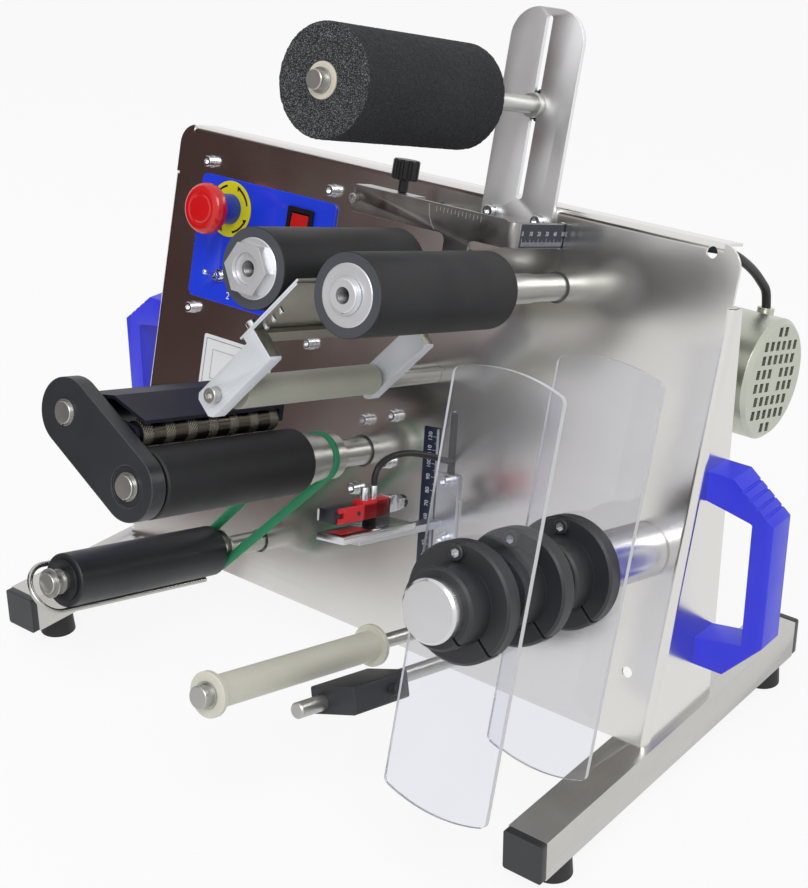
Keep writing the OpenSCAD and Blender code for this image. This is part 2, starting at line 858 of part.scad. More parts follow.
module control_holes(front) {
  along_n(estop_x, estop_w) bore(estop_body_r + fit, -sheet_t - over, front);
  along_n(toggle_x, toggle_w) bore(toggle_bush_r + fit, -sheet_t - over, front);
  along_n(rocker_x, rocker_w, -sheet_t - over)
    linear_extrude(sheet_t + over + front) square(rocker_window + [2 * fit, 2 * fit], center = true);
}

function box_screw_places() = [for (sx = [-1, 1], sw = [-1, 1]) [
  control_left + control_w / 2 + sx * (control_w / 2 - box_post / 2 - edge),
  control_low + control_h / 2 + sw * (control_h / 2 + box_margin - box_post / 2 - edge)
]];
function upright_screw_places() = [for (s = [-1, 1]) [upright_x + s * upright_screw_gap / 2, upright_screw_w]];
function screw_places() = concat(box_screw_places(), upright_screw_places(), block_screws);

module front_panel() color("#a8a9aa") {
  difference() {
    union() {
      on_panel() along_n(0, 0, -sheet_t) linear_extrude(sheet_t) face_outline();
      on_panel() lip();
      flanges();
      soles();
    }
    on_panel() face_holes();
    both_sides() for (y = sole_screw_ys()) translate([0, y, stand_h]) bore(screw_r + fit, -over, sheet_t + over);
    for (side = [-1, 1], z = handle_screw_zs()) at_handle_screw(side, z) bore(screw_r + fit, -sheet_t - over, over);
  }
}

// Handles

handle_screw_shares = [0.07, 0.93];
function handle_screw_zs() = handle_h * handle_screw_shares;
handle_y = flange_depth - handle_rear_gap - handle_w;

module at_handle(side) translate([side * panel_w / 2, panel_y + handle_y + handle_w / 2, stand_h + handle_z])
  rotate([90, 0, side > 0 ? 0 : 180]) children();

// A frame on the flange's outer face that points outwards
module at_handle_screw(side, z)
  translate([side * panel_w / 2, panel_y + handle_y + handle_w / 2, stand_h + handle_z + z])
    rotate([0, side * 90, 0]) children();

module handle(side) difference() {
  at_handle(side) linear_extrude(handle_w, center = true) difference() {
    polygon([for (p = handle_shares) [p.x * handle_reach, p.y * handle_h]]);
    polygon([for (p = finger_shares) [p.x * (handle_reach - grip_t) - (p.x == 0 ? over : 0), p.y * handle_h]]);
  }
  for (z = handle_screw_zs()) at_handle_screw(side, z) bore(screw_r + fit, -over, screw_len + fit);
}

module handle_left() color("#4a50e6") handle(-1);
module handle_right() color("#4a50e6") handle(1);

// Screws through the face, the soles and the flanges

module face_screw(p, seat) along_n(p.x, p.y) {
  translate([0, 0, seat]) washer();
  translate([0, 0, seat + washer_t]) cap_screw(screw_r, screw_len);
}

module panel_screws() color("#c9cbcd") {
  on_panel() {
    for (p = concat(box_screw_places(), block_screws)) face_screw(p, 0);
    for (p = upright_screw_places()) {
      face_screw(p, upright_t);
      along_n(p.x, p.y) translate([0, 0, -sheet_t - screw_r * nut_h_share]) nut(screw_r);
    }
  }
  both_sides() for (y = sole_screw_ys()) translate([0, y, stand_h + sheet_t]) cap_screw(screw_r, screw_len);
  for (side = [-1, 1], z = handle_screw_zs()) at_handle_screw(side, z)
    translate([0, 0, -sheet_t]) mirror([0, 0, 1]) cap_screw(screw_r, screw_len);
}

// Press roller on its upright plate

module upright_outline() {
  h = upright_high - upright_low;
  difference() {
    translate([0, h / 2]) union() {
      translate([-upright_w / 2, -h / 2]) square([upright_w, h - upright_corner]);
      translate([-upright_w / 2 + upright_corner, -h / 2]) square([upright_w - 2 * upright_corner, h]);
      for (s = [-1, 1]) translate([s * (upright_w / 2 - upright_corner), h / 2 - upright_corner]) circle(upright_corner);
    }
    translate([0, (upright_slot_low + upright_slot_high) / 2 - upright_low])
      stadium(upright_slot_w / 2, (upright_slot_high - upright_slot_low - upright_slot_w) / 2);
    for (s = [-1, 1]) translate([s * upright_screw_gap / 2, upright_screw_w - upright_low]) circle(screw_r + fit);
  }
}

module upright_plate() color("#d0d1d2") on_panel() along_n(upright_x, upright_low)
  linear_extrude(upright_t) upright_outline();

module press_shaft() color("#b9bbbd") on_panel() along_n(upright_x, press_w) {
  stud = upright_slot_w / 2 - stud_play;
  seat = upright_t + gap;
  turned(press_shaft_r, seat + collar_step_t / 2, press_tip);
  turned(collar_step_r, seat, seat + collar_step_t);
  bore(stud, -knob_t + edge, seat + edge);
  circlip(press_shaft_r, foam_from + foam_len + bush_proud + gap);
  circlip(press_shaft_r, foam_from - bush_proud - gap - clip_t);
}

module press_knob() color("#1b1b1d") on_panel() along_n(upright_x, press_w) difference() {
  ridged(knob_r, -knob_t - 2 * edge, -gap);
  bore(upright_slot_w / 2 - stud_play + fit, -knob_t + edge - fit, 0);
}

module foam_roller() color("#3b3c40") on_panel() along_n(upright_x, press_w)
  sleeve(foam_r, foam_bush_r, foam_from, foam_from + foam_len);

module foam_bushes() color("#e6e3d8") on_panel() along_n(upright_x, press_w)
  sleeve(foam_bush_r, press_shaft_r + fit, foam_from - bush_proud, foam_from + foam_len + bush_proud);

// Positioning plate

module stop_outline() {
  right = stop_right - stop_bend_r;
  mid = stop_low + stop_h / 2;
  translate([(stop_left + right) / 2, mid]) rounded([right - stop_left, stop_h], stop_corner);
  translate([right - 2 * stop_corner, stop_low + leg_inset])
    square([2 * stop_corner, stop_h - 2 * leg_inset]);
  translate([lobe_left, stop_low - lobe_drop + lobe_fillet]) square([lobe_w, lobe_drop]);
  translate([lobe_left + lobe_fillet, stop_low - lobe_drop]) square([lobe_w - 2 * lobe_fillet, lobe_drop]);
  for (x = [lobe_left + lobe_fillet, lobe_left + lobe_w - lobe_fillet])
    translate([x, stop_low - lobe_drop + lobe_fillet]) circle(lobe_fillet);
  for (s = [0, 1]) difference() {
    x = s == 0 ? lobe_left - lobe_fillet : lobe_left + lobe_w;
    translate([x, stop_low - lobe_fillet]) square(lobe_fillet);
    translate([x + s * lobe_fillet, stop_low - lobe_fillet]) circle(lobe_fillet);
  }
}

module stop_bend() {
  c = [stop_right - stop_bend_r, -(stop_n - stop_bend_r)];
  difference() {
    translate(c) circle(stop_bend_r);
    translate(c) circle(stop_bend_r - stop_t);
    translate(c + [-2 * stop_bend_r, -2 * stop_bend_r]) square([2 * stop_bend_r, 4 * stop_bend_r]);
    translate(c + [-over, 0]) square([2 * stop_bend_r, 2 * stop_bend_r]);
  }
  translate([stop_right - stop_t, -(stop_n - stop_bend_r)]) square([stop_t, stop_n - stop_bend_r - leg_rear]);
  translate([stop_right, -(stop_n - stop_bend_r)]) square([scale_t, stop_n - stop_bend_r - leg_rear - scale_t]);
}

module positioning_plate() color("#9d9a96") on_panel() difference() {
  union() {
    along_n(0, 0, stop_n - stop_t) linear_extrude(stop_t) stop_outline();
    translate([0, 0, stop_low + leg_inset]) linear_extrude(stop_h - 2 * leg_inset) stop_bend();
  }
  along_n(stop_screw_x, stop_low + stop_h / 2) bore(small_screw_r + fit, stop_n - stop_t - over, stop_n + over);
}

// The sliding block behind the plate, its rod and the screw that holds the plate on it
module positioning_rod() color("#b4b5b7") on_panel() {
  block_n = stop_n - stop_t - stop_block_t;
  difference() {
    translate([stop_left, -(stop_n - stop_t), stop_low])
      cube([stop_rod_x + stop_block_w / 2 - stop_screw_x, stop_block_t, stop_h]);
    translate([stop_rod_x, -thumb_n, stop_low + stop_h]) bore(thumb_screw_r + fit, -thumb_screw_len - fit, over);
    along_n(stop_screw_x, stop_low + stop_h / 2) bore(small_screw_r + fit, stop_n - screw_len - fit, stop_n);
  }
  along_n(stop_rod_x, stop_rod_w) turned(stop_rod_r, stop_rod_rear, block_n + edge);
  along_n(stop_screw_x, stop_low + stop_h / 2, stop_n) cap_screw(small_screw_r, screw_len);
}

module thumb_knob() color("#1b1b1d") on_panel() translate([stop_rod_x, -thumb_n, stop_low + stop_h + gap]) {
  ridged(thumb_r, thumb_stem_h, thumb_stem_h + thumb_h);
  turned(thumb_stem_r, 0, thumb_stem_h + edge);
  bore(thumb_screw_r, -thumb_screw_len, edge);
}

// Controls

module control_plate() color("#1c3fd6") on_panel() difference() {
  along_n(control_left + control_w / 2, control_low + control_h / 2)
    linear_extrude(control_t) rounded([control_w, control_h], control_corner);
  control_holes(control_t + over);
}

module switch_bodies() color("#e3cf1e") on_panel() {
  along_n(estop_x, estop_w) difference() {
    union() {
      turned(estop_ring_r, control_t, control_t + estop_ring_t, edge / 2);
      turned(estop_shank_r, control_t, estop_shank_n);
      bore(estop_body_r, -sheet_t - switch_depth, control_t + edge);
    }
    bore(estop_stem_r + gap, control_t + over, estop_shank_n + over);
  }
  along_n(rocker_x, rocker_w) {
    translate([0, 0, control_t]) linear_extrude(bezel_t) difference() {
      rounded(rocker_bezel, rocker_wall);
      square(rocker_window, center = true);
    }
    translate([0, 0, -sheet_t - switch_depth]) linear_extrude(switch_depth - rocker_sink)
      square(rocker_window, center = true);
    translate([0, 0, -sheet_t - rocker_sink]) linear_extrude(rocker_sink + sheet_t + control_t + edge) difference() {
      square(rocker_window, center = true);
      square(rocker_window - 2 * [rocker_wall, rocker_wall], center = true);
    }
  }
  along_n(toggle_x, toggle_w) difference() {
    union() {
      bore(toggle_bush_r, -sheet_t - switch_depth, toggle_bush_n);
      translate([0, 0, control_t]) cylinder(r = toggle_nut_r, h = toggle_nut_t, $fn = 6);
    }
    bore(toggle_ball_r + gap, toggle_bush_n - 2 * toggle_ball_r - gap, toggle_bush_n + over);
  }
}

module estop_button() color("#e0141c") on_panel() along_n(estop_x, estop_w) rotate_extrude() {
  mid = estop_tip_n - estop_rim;
  translate([0, control_t + over + estop_travel + gap])
    square([estop_stem_r, estop_head_n - control_t - estop_travel - over]);
  translate([0, estop_head_n]) square([estop_r - estop_rim, estop_tip_n - estop_head_n]);
  translate([0, estop_head_n + edge]) square([estop_r, mid - estop_head_n - edge]);
  intersection() {
    translate([estop_r - estop_rim, mid]) circle(estop_rim);
    translate([0, estop_head_n]) square([estop_r, estop_tip_n - estop_head_n]);
  }
}

module rocker_key() color("#b8191c") on_panel() along_n(rocker_x, rocker_w) {
  size = rocker_window - 2 * [rocker_wall + gap, 2 * rocker_wall];
  rotate([90, 0, 90]) linear_extrude(size.x, center = true) polygon([
    [-size.y / 2, control_t], [-size.y / 2, control_t + rocker_lift], [0, control_t + rocker_lift - rocker_slope],
    [size.y / 2, control_t + bezel_t / 2], [size.y / 2 - rocker_slope, control_t - over],
    [rocker_slope, -sheet_t - rocker_sink / 2], [-rocker_slope, -sheet_t - rocker_sink / 2]
  ]);
}

module toggle_lever() color("#d6d7d8") on_panel() along_n(toggle_x, toggle_w, toggle_bush_n - toggle_ball_r)
  rotate([-toggle_tilt, 0, 0]) {
    sphere(toggle_ball_r);
    cylinder(r1 = toggle_root_r, r2 = toggle_tip_r, h = toggle_len);
    translate([0, 0, toggle_len]) sphere(toggle_tip_r);
  }

module electrical_box() color("#8d8f92") on_panel() {
  size = [control_w, control_h + 2 * box_margin];
  along_n(control_left + control_w / 2, control_low + control_h / 2, -sheet_t - box_depth) {
    difference() {
      linear_extrude(box_depth) rounded(size, 2 * box_wall);
      translate([0, 0, box_wall]) linear_extrude(box_depth) rounded(size - 2 * [box_wall, box_wall], box_wall);
      translate([inlet_x - control_left - control_w / 2, 0, -over])
        linear_extrude(box_wall + 2 * over) square(inlet_size - 2 * [inlet_t, inlet_t], center = true);
    }
  }
  for (p = box_screw_places()) along_n(p.x, p.y, -sheet_t - box_post_depth) difference() {
    linear_extrude(box_post_depth) square(box_post, center = true);
    bore(screw_r + fit, -over, box_post_depth + over);
  }
}

module power_inlet() color("#202124") on_panel()
  along_n(inlet_x, control_low + control_h / 2, -sheet_t - box_depth) {
    difference() {
      union() {
        translate([0, 0, -inlet_t]) linear_extrude(inlet_t) rounded(inlet_size, inlet_t);
        linear_extrude(inlet_depth) square(inlet_size - 2 * [inlet_t + fit, inlet_t + fit], center = true);
      }
      translate([0, 0, -inlet_t - over]) linear_extrude(inlet_depth) square(inlet_mouth, center = true);
    }
    for (i = [-1, 0, 1]) translate([i * inlet_pin_gap, 0, inlet_depth - inlet_t - over - inlet_pin_len])
      linear_extrude(inlet_pin_len + edge) square(inlet_pin, center = true);
  }

// Drive rollers

module pulley(n) {
  bore(pulley_r, n - pulley_t, n);
  bore(pulley_flange_r, n - pulley_flange_t, n);
  bore(pulley_flange_r, n - pulley_t, n - pulley_t + pulley_flange_t);
}

// Shaft of a drive roller, and the core that is pressed on its end
module roller_shaft(rear) {
  bore(drive_shaft_r, rear, drive_step_n);
  turned(drive_step_r, drive_step_n - edge, drive_from + shaft_bite);
}

module roller_core() difference() {
  union() {
    turned(core_r, drive_from - edge, drive_front + edge);
    turned(drive_tip_r, drive_front, drive_front + drive_tip);
    circlip(drive_tip_r - fit, drive_front + over);
  }
  bore(thread_r, drive_front + drive_tip - thread_len, drive_front + drive_tip + over);
  bore(drive_step_r + fit, drive_from - over, drive_from + shaft_bite + fit);
}

module roller_rubber(x) on_panel() along_n(x, drive_w) sleeve(drive_r, core_r, drive_from, drive_front);

module right_roller_shaft() color("#c4c6c8") on_panel() along_n(right_x, drive_w) {
  roller_shaft(gearbox_rear - 2 * edge);
  difference() {
    pulley(pulley_a_n);
    bore(drive_shaft_r, pulley_a_n - pulley_t - over, over);
  }
}

module right_roller_core() color("#c4c6c8") on_panel() along_n(right_x, drive_w) roller_core();

module right_roller_rubber() color("#212225") roller_rubber(right_x);

module left_roller_shaft() color("#c4c6c8") on_panel() along_n(left_x, drive_w) {
  roller_shaft(pulley_b_n - pulley_t - 2 * edge);
  difference() {
    union() {
      pulley(pulley_a_n);
      pulley(pulley_b_n);
    }
    bore(drive_shaft_r, pulley_b_n - pulley_t - over, over);
  }
}

module left_roller_core() color("#c4c6c8") on_panel() along_n(left_x, drive_w) {
  roller_core();
  difference() {
    translate([0, 0, drive_front + edge]) cylinder(r = hex_r, h = hex_t, $fn = 6);
    bore(drive_tip_r, drive_front - over, drive_front + hex_t + over);
  }
}

module left_roller_rubber() color("#212225") roller_rubber(left_x);

module housing(r, flange_r, hub, t) translate([0, 0, -sheet_t]) difference() {
  union() {
    turned(flange_r, -housing_flange_t, 0);
    turned(hub, -t, 0);
  }
  bore(r + fit, -t - over, over);
}

module bearing_housings() color("#6f7275") on_panel() {
  for (x = [left_x, right_x]) along_n(x, drive_w) housing(drive_shaft_r, housing_flange_r, housing_hub_r, housing_t);
  along_n(rewind_x, rewind_w) housing(rewind_shaft_r, housing_flange_r, housing_hub_r, housing_t);
  along_n(spindle_x, spindle_w) housing(spindle_journal_r, housing_flange_r, housing_hub_r, spindle_housing_t);
  along_n(stop_rod_x, stop_rod_w) housing(stop_rod_r, housing_hub_r, stop_rod_r + 2 * hole_play, bush_len);
  difference() {
    along_n(block_plate_at.x, block_plate_at.y, -sheet_t - block_plate_t)
      linear_extrude(block_plate_t) rounded(block_plate, gearbox_corner);
    along_n(traction_x, traction_w) bore(drive_shaft_r + fit, -sheet_t - block_plate_t - over, over);
    for (p = block_screws) along_n(p.x, p.y) bore(screw_r + fit, -sheet_t - screw_len, over);
  }
}

// A toothed belt round two equal pulleys, drawn as its plain band
module belt_band(p, q, n) {
  d = q - p;
  r = pulley_r + pulley_play;
  along_n((p.x + q.x) / 2, (p.y + q.y) / 2, n - pulley_t + pulley_flange_t + pulley_play)
    rotate(atan2(d.y, d.x) - 90) linear_extrude(pulley_t - 2 * pulley_flange_t - 2 * pulley_play) difference() {
      stadium(r + timing_belt_t, norm(d) / 2);
      stadium(r, norm(d) / 2);
    }
}

module timing_belts() color("#161618") on_panel() {
  belt_band([left_x, drive_w], [right_x, drive_w], pulley_a_n);
  belt_band([left_x, drive_w], [traction_x, traction_w], pulley_b_n);
}

module worm_gearbox() color("#7f8488") on_panel() difference() {
  union() {
    low = motor_w - gearbox_low_r;
    high = drive_w + gearbox_high;
    along_n(gearbox_left + gearbox_w / 2, (low + high) / 2, gearbox_rear)
      linear_extrude(gearbox_front - gearbox_rear) rounded([gearbox_w, high - low], gearbox_corner);
    translate([gearbox_left + gearbox_w - edge, motor_n, motor_w]) rotate([0, 90, 0])
      cylinder(r = min(gearbox_neck_r, motor_r), h = gearbox_neck + edge);
    for (x = [gearbox_left + standoff_inset, gearbox_left + gearbox_w - standoff_inset],
         w = [low + standoff_inset, high - standoff_inset])
      along_n(x, w) bore(standoff_r, gearbox_front - edge, -sheet_t);
  }
  along_n(right_x, drive_w) bore(drive_shaft_r + fit, gearbox_rear - over, gearbox_front + over);
}

module motor_grille() for (row = [0 : len(grille_cols) - 1], col = [0 : grille_cols[row] - 1]) {
  y = (row - (len(grille_cols) - 1) / 2) * grille_pitch.x;
  from_mid = col - (grille_cols[row] - 1) / 2;
  x = from_mid * grille_pitch.y + (abs(y) < grille_hub_r ? sign(from_mid) * grille_hub_shift : 0);
  translate([x, -y]) square(grille_hole, center = true);
}

module gear_motor() color("#a3a89c") on_panel() difference() {
  union() {
    translate([gearbox_left + gearbox_w + gearbox_neck, motor_n, motor_w]) rotate([0, 90, 0])
      turned(motor_r, 0, motor_end - gearbox_left - gearbox_w - gearbox_neck, motor_rim);
    translate([motor_lead_x, -gland_n, motor_lead_from - gland_h]) cylinder(r = gland_r, h = gland_h);
  }
  translate([motor_end - grille_depth, motor_n, motor_w]) rotate([90, 0, 90])
    linear_extrude(grille_depth + over) motor_grille();
}

module motor_lead() color("#17171a") on_panel() tube(
  concat([[motor_lead_x, gland_n, motor_lead_from + fit]], motor_route), motor_lead_r, 2);

// Peel plate on its post

module peel_post() color("#aeb0b2") on_panel() along_n(post_x, post_w) {
  turned(post_r, 0, arm_rear - gap);
  bore(stud_r, arm_rear - over, arm_front);
  panel_stud(stud_r);
  panel_nut(stud_r);
  translate([0, 0, arm_front + gap]) cap_screw(post_screw_r, gap);
}

module arm_outline() polygon([
  [-arm_low, arm_corner - arm_w / 2], [arm_corner - arm_low, -arm_w / 2],
  [arm_len - arm_corner / 2, -arm_w / 2], [arm_len, arm_corner / 2 - arm_w / 2],
  [arm_len, arm_w / 2], [arm_corner - arm_low, arm_w / 2], [-arm_low, arm_w / 2 - arm_corner]
]);

module peel_arms() color("#c6cad2") on_panel() {
  for (n = [arm_rear, arm_front - arm_t]) on_arms(n) linear_extrude(arm_t) difference() {
    arm_outline();
    circle(stud_r + fit);
  }
  on_arms(arm_rear) translate([arm_len - arm_bar_w, arm_w / 2, 0])
    cube([arm_bar_w, arm_top_t, arm_front - arm_rear]);
}

module peel_plate() color("#a9a89c") on_panel() {
  top = arm_w / 2 + arm_top_t + peel_t;
  on_arms(arm_rear) difference() {
    translate([peel_from, top - peel_t, 0]) cube([peel_reach - peel_from, peel_t, arm_front - arm_rear]);
    translate([arm_len - arm_bar_w / 2, top, arm_front - arm_rear - peel_tip_screw])
      rotate([90, 0, 0]) bore(small_screw_r + fit, -over, peel_t + over);
  }
}

module peel_roller() color("#b5b5a4") on_panel() along_n(post_x, post_w)
  sleeve(peel_roller_r, stud_r + fit, peel_roller_from, peel_roller_to);

// Traction roller, its link plate and the nip roller

module belt_groove(r) translate([0, 0, belt_n]) rotate_extrude() translate([r, 0]) {
  half = belt_d / 2 + groove_play;
  circle(half);
  translate([0, -half]) square(2 * half);
}

module traction_shaft() color("#b9bbbd") on_panel() along_n(traction_x, traction_w) {
  difference() {
    union() {
      bore(drive_shaft_r, pulley_b_n - pulley_t - 2 * edge, over);
      turned(traction_shaft_r, 0, pulley_front_n + edge);
      turned(pulley_front_r, pulley_front_n, traction_rear);
      bore(traction_core_r, traction_rear, traction_front);
      bore(journal_r, traction_front - over, link_n + link_t);
      turned(journal_r, link_n + link_t - over, journal_n);
      pulley(pulley_b_n);
    }
    belt_groove(traction_belt_r);
  }
  circlip(journal_r, link_n + link_t - recess_depth + gap);
}

module traction_rubber() color("#232427") on_panel() along_n(traction_x, traction_w)
  sleeve(traction_r, traction_core_r, traction_rear, traction_front, 2 * edge);

module support_shaft() color("#b9bbbd") on_panel() along_n(link_x, link_w) {
  turned(support_r, 0, journal_n);
  panel_stud(stud_r);
  panel_nut(stud_r);
  circlip(support_r, link_n + link_t + gap / 2);
}

module link_plate() color("#2b2e38") on_panel() along_n(traction_x, traction_w, link_n) difference() {
  linear_extrude(link_t) translate([link_dx, link_dw] / 2) rotate(link_angle - 90) stadium(link_r, link_len / 2);
  bore(journal_r + fit, -over, link_t + over);
  bore(recess_r, link_t - recess_depth, link_t + over);
  translate([link_dx, link_dw]) bore(support_r + fit, -over, link_t + over);
}

function rel_nip() = [nip_x - link_x, nip_w - link_w];

module cheek_outline() difference() {
  union() {
    circle(boss_r);
    polygon([
      [0, -boss_r], rel_nip() + [0, -2 * nip_pin_r], rel_nip() + [3 * nip_pin_r, 0], cover_end, cover_bend,
      [0, boss_r]
    ]);
  }
  circle(support_r + fit);
  translate(rel_nip()) circle(nip_pin_r + fit);
}

module front_cheek_outline() difference() {
  union() {
    circle(boss_r);
    d = rel_nip();
    rotate(atan2(d.y, d.x)) translate([0, -2 * nip_pin_r]) square([norm(d), 4 * nip_pin_r]);
    translate(d) circle(2 * nip_pin_r);
  }
  circle(support_r + fit);
  translate(rel_nip()) circle(nip_pin_r + fit);
}

module nip_arm() color("#22252e") on_panel() along_n(link_x, link_w) {
  rear = nip_from - gap - cheek_t;
  front = nip_to + gap;
  sleeve(boss_r, support_r + fit, rear, front + front_cheek_t);
  translate([0, 0, rear]) linear_extrude(cheek_t) cheek_outline();
  translate([0, 0, front]) linear_extrude(front_cheek_t) front_cheek_outline();
  translate([0, 0, rear]) linear_extrude(front - rear) polygon([
    [0, boss_r], cover_bend, cover_end, cover_end - [0, cover_t], cover_bend - [0, cover_t],
    [cover_t, boss_r - cover_t]
  ]);
}

module nip_roller() color("#4b4a45") on_panel() along_n(nip_x, nip_w) {
  bore(nip_pin_r, nip_from - gap - cheek_t, nip_to + gap + front_cheek_t);
  turned(nip_r - nip_band_rise, nip_from, nip_to);
  pitch = (nip_to - nip_from - nip_band_w) / (nip_bands - 1);
  for (i = [0 : nip_bands - 1]) bore(nip_r, nip_from + i * pitch, nip_from + i * pitch + nip_band_w);
}

// Rewinder

module rewind_shaft() color("#9fa1a4") on_panel() along_n(rewind_x, rewind_w) {
  difference() {
    union() {
      bore(rewind_shaft_r, -sheet_t - housing_t - 2 * edge, rewind_pulley_n + over);
      turned(rewind_pulley_r, rewind_pulley_n, rewind_rear + edge);
      bore(rewind_core_r, rewind_rear, rewind_front);
      turned(rewind_tip_r, rewind_front - over, rewind_tip);
    }
    belt_groove(rewind_belt_r);
  }
  circlip(rewind_tip_r, rewind_front + 4 * over);
}

module rewind_rubber() color("#232530") on_panel() along_n(rewind_x, rewind_w)
  sleeve(rewind_r, rewind_core_r, rewind_rear, rewind_front, 2 * edge);

// A bent wire whose legs lie along the rubber and whose loop passes in front of it
module wire_clip() color("#aab0ae") on_panel() along_n(rewind_x, rewind_w) {
  leg_r = rewind_r + clip_d / 2 + gap;
  front = rewind_front + clip_d / 2 + gap;
  half = (clip_leg_angles[1] - clip_leg_angles[0]) / 2;
  mid = 180 + (clip_leg_angles[0] + clip_leg_angles[1]) / 2;
  for (a = clip_leg_angles) rotate(a) translate([leg_r, 0]) bore(clip_d / 2, clip_leg_from, front);
  rotate(mid) translate([leg_r * -cos(half), 0, front]) rotate([90, 0, 90])
    rotate_extrude(angle = 180) translate([leg_r * sin(half), 0]) circle(clip_d / 2);
}

// A round belt: one closed tube along two arcs round the pulleys and two straight runs
module round_belt() color("#24905f") on_panel() {
  d = [traction_x - rewind_x, traction_w - rewind_w];
  lay = asin((traction_belt_r - rewind_belt_r) / norm(d));
  turn = atan2(d.y, d.x);
  path = concat(
    [for (i = [0 : belt_steps]) let (a = turn + 90 + lay + (180 - 2 * lay) * i / belt_steps)
      [rewind_x + rewind_belt_r * cos(a), belt_n, rewind_w + rewind_belt_r * sin(a)]],
    [for (i = [0 : belt_steps]) let (a = turn - 90 - lay + (180 + 2 * lay) * i / belt_steps)
      [traction_x + traction_belt_r * cos(a), belt_n, traction_w + traction_belt_r * sin(a)]]
  );
  hoop([for (q = path) on_face(q)], belt_d / 2);
}

// Label spindle

module spindle_shaft() color("#d3d4d5") on_panel() along_n(spindle_x, spindle_w) {
  turned(spindle_r, gap, spindle_len, spindle_edge);
  rear = -sheet_t - spindle_housing_t;
  bore(spindle_journal_r, rear - 4 * over, over);
  translate([0, 0, rear - gap - 3 * over]) cylinder(r = spindle_nut_r, h = 3 * over, $fn = 6);
}

module collar(n) on_panel() along_n(spindle_x, spindle_w, n) difference() {
  union() {
    turned(collar_r, 0, collar_t, collar_edge);
    turned(hub_r, collar_t - over, collar_t + hub_len, collar_edge);
  }
  bore(spindle_r + fit, -over, collar_t + hub_len + over);
  rotate(slit_angle) translate([0, -slit_w / 2, -over]) cube([collar_r + over, slit_w, collar_t + hub_len + 2 * over]);
  for (a = collar_screw_angles) rotate(a) translate([collar_screw_at, 0]) {
    bore(collar_screw_r, -over, collar_t + over);
    bore(collar_screw_r * head_share, collar_t - collar_screw_r, collar_t + over);
  }
}

module collar_screws(n) on_panel() along_n(spindle_x, spindle_w, n + collar_t - collar_screw_r)
  for (a = collar_screw_angles) rotate(a) translate([collar_screw_at, 0])
    cap_screw(collar_screw_r - fit, collar_t - collar_screw_r);

module front_collar() {
  color("#26272b") collar(front_collar_n);
  color("silver") collar_screws(front_collar_n);
}
module middle_collar() {
  color("#26272b") collar(middle_collar_n);
  color("silver") collar_screws(middle_collar_n);
}
module rear_collar() {
  color("#26272b") collar(rear_collar_n);
  color("silver") collar_screws(rear_collar_n);
}

// A strip with convex ends and rounded corners
module side_outline() {
  half = side_w / 2;
  arc_r = (half * half + side_sagitta * side_sagitta) / (2 * side_sagitta);
  arc_at = side_len / 2 - arc_r;
  inner = half - side_corner;
  corner_at = arc_at + sqrt((arc_r - side_corner) * (arc_r - side_corner) - inner * inner);
  difference() {
    union() {
      square([side_w, 2 * corner_at], center = true);
      for (s = [0, 1]) mirror([0, s]) {
        for (t = [-1, 1]) translate([t * inner, corner_at]) circle(side_corner);
        intersection() {
          translate([-inner, 0]) square([2 * inner, side_len]);
          translate([0, arc_at]) circle(arc_r, $fn = 180);
        }
      }
    }
    circle(spindle_r + fit);
  }
}

module side_plate(n) on_panel() along_n(spindle_x, spindle_w, n - side_t) linear_extrude(side_t) side_outline();

module front_side_plate() color("#dfe9ee", 0.5) side_plate(front_collar_n);
module rear_side_plate() color("#dfe9ee", 0.5) side_plate(rear_collar_n);

// Lower guide roller, and the block on its rod

module guide_shaft() color("#b9bbbd") on_panel() along_n(guide_x, guide_w) {
  turned(guide_shaft_r, guide_step_n, guide_tip);
  bore(guide_stud_r, 0, guide_step_n + over);
  panel_stud(guide_stud_r);
  panel_nut(guide_stud_r);
  circlip(guide_shaft_r, guide_front + gap);
  circlip(guide_shaft_r, guide_rear - gap - clip_t);
}

module guide_roller() color("#d4d2c0") on_panel() along_n(guide_x, guide_w) {
  sleeve(guide_tube_r, guide_shaft_r + fit, guide_rear + edge, guide_front - edge);
  sleeve(guide_rim_r, guide_shaft_r + fit, guide_rear, guide_rear + guide_rim_t);
  sleeve(guide_rim_r, guide_shaft_r + fit, guide_front - guide_rim_t, guide_front);
}

module block_rod() color("#9b9da0") on_panel() along_n(rod_x, rod_w) {
  rod_nut_h = rod_r * nut_h_share;
  turned(rod_r, -sheet_t - rod_nut_h - over, rod_len, 2 * edge);
  translate([0, 0, -sheet_t - rod_nut_h]) cylinder(r = rod_r * nut_share, h = rod_nut_h, $fn = 6);
}

module clamp_block() color("#2a2c31") on_panel() along_n(rod_x, rod_w, block_n) rotate(block_turn) {
  difference() {
    translate(-block_rod_at) linear_extrude(block_len) rounded(block_size, block_corner);
    bore(rod_r + fit, -over, block_len + over);
    translate([block_size.x / 2 - block_rod_at.x, -block_rod_at.y, block_screw_n]) rotate([0, 90, 0])
      bore(screw_r + fit, -screw_len - fit, over);
  }
  translate([block_size.x / 2 - block_rod_at.x, -block_rod_at.y, block_screw_n]) rotate([0, 90, 0])
    cap_screw(screw_r, screw_len);
}

// Sensor on its bracket

module depth_ruler() color("#1f2b4d") on_panel() on_slot(ruler_u, (ruler_low + ruler_high) / 2)
  linear_extrude(ruler_t) square([ruler_w, ruler_high - ruler_low], center = true);

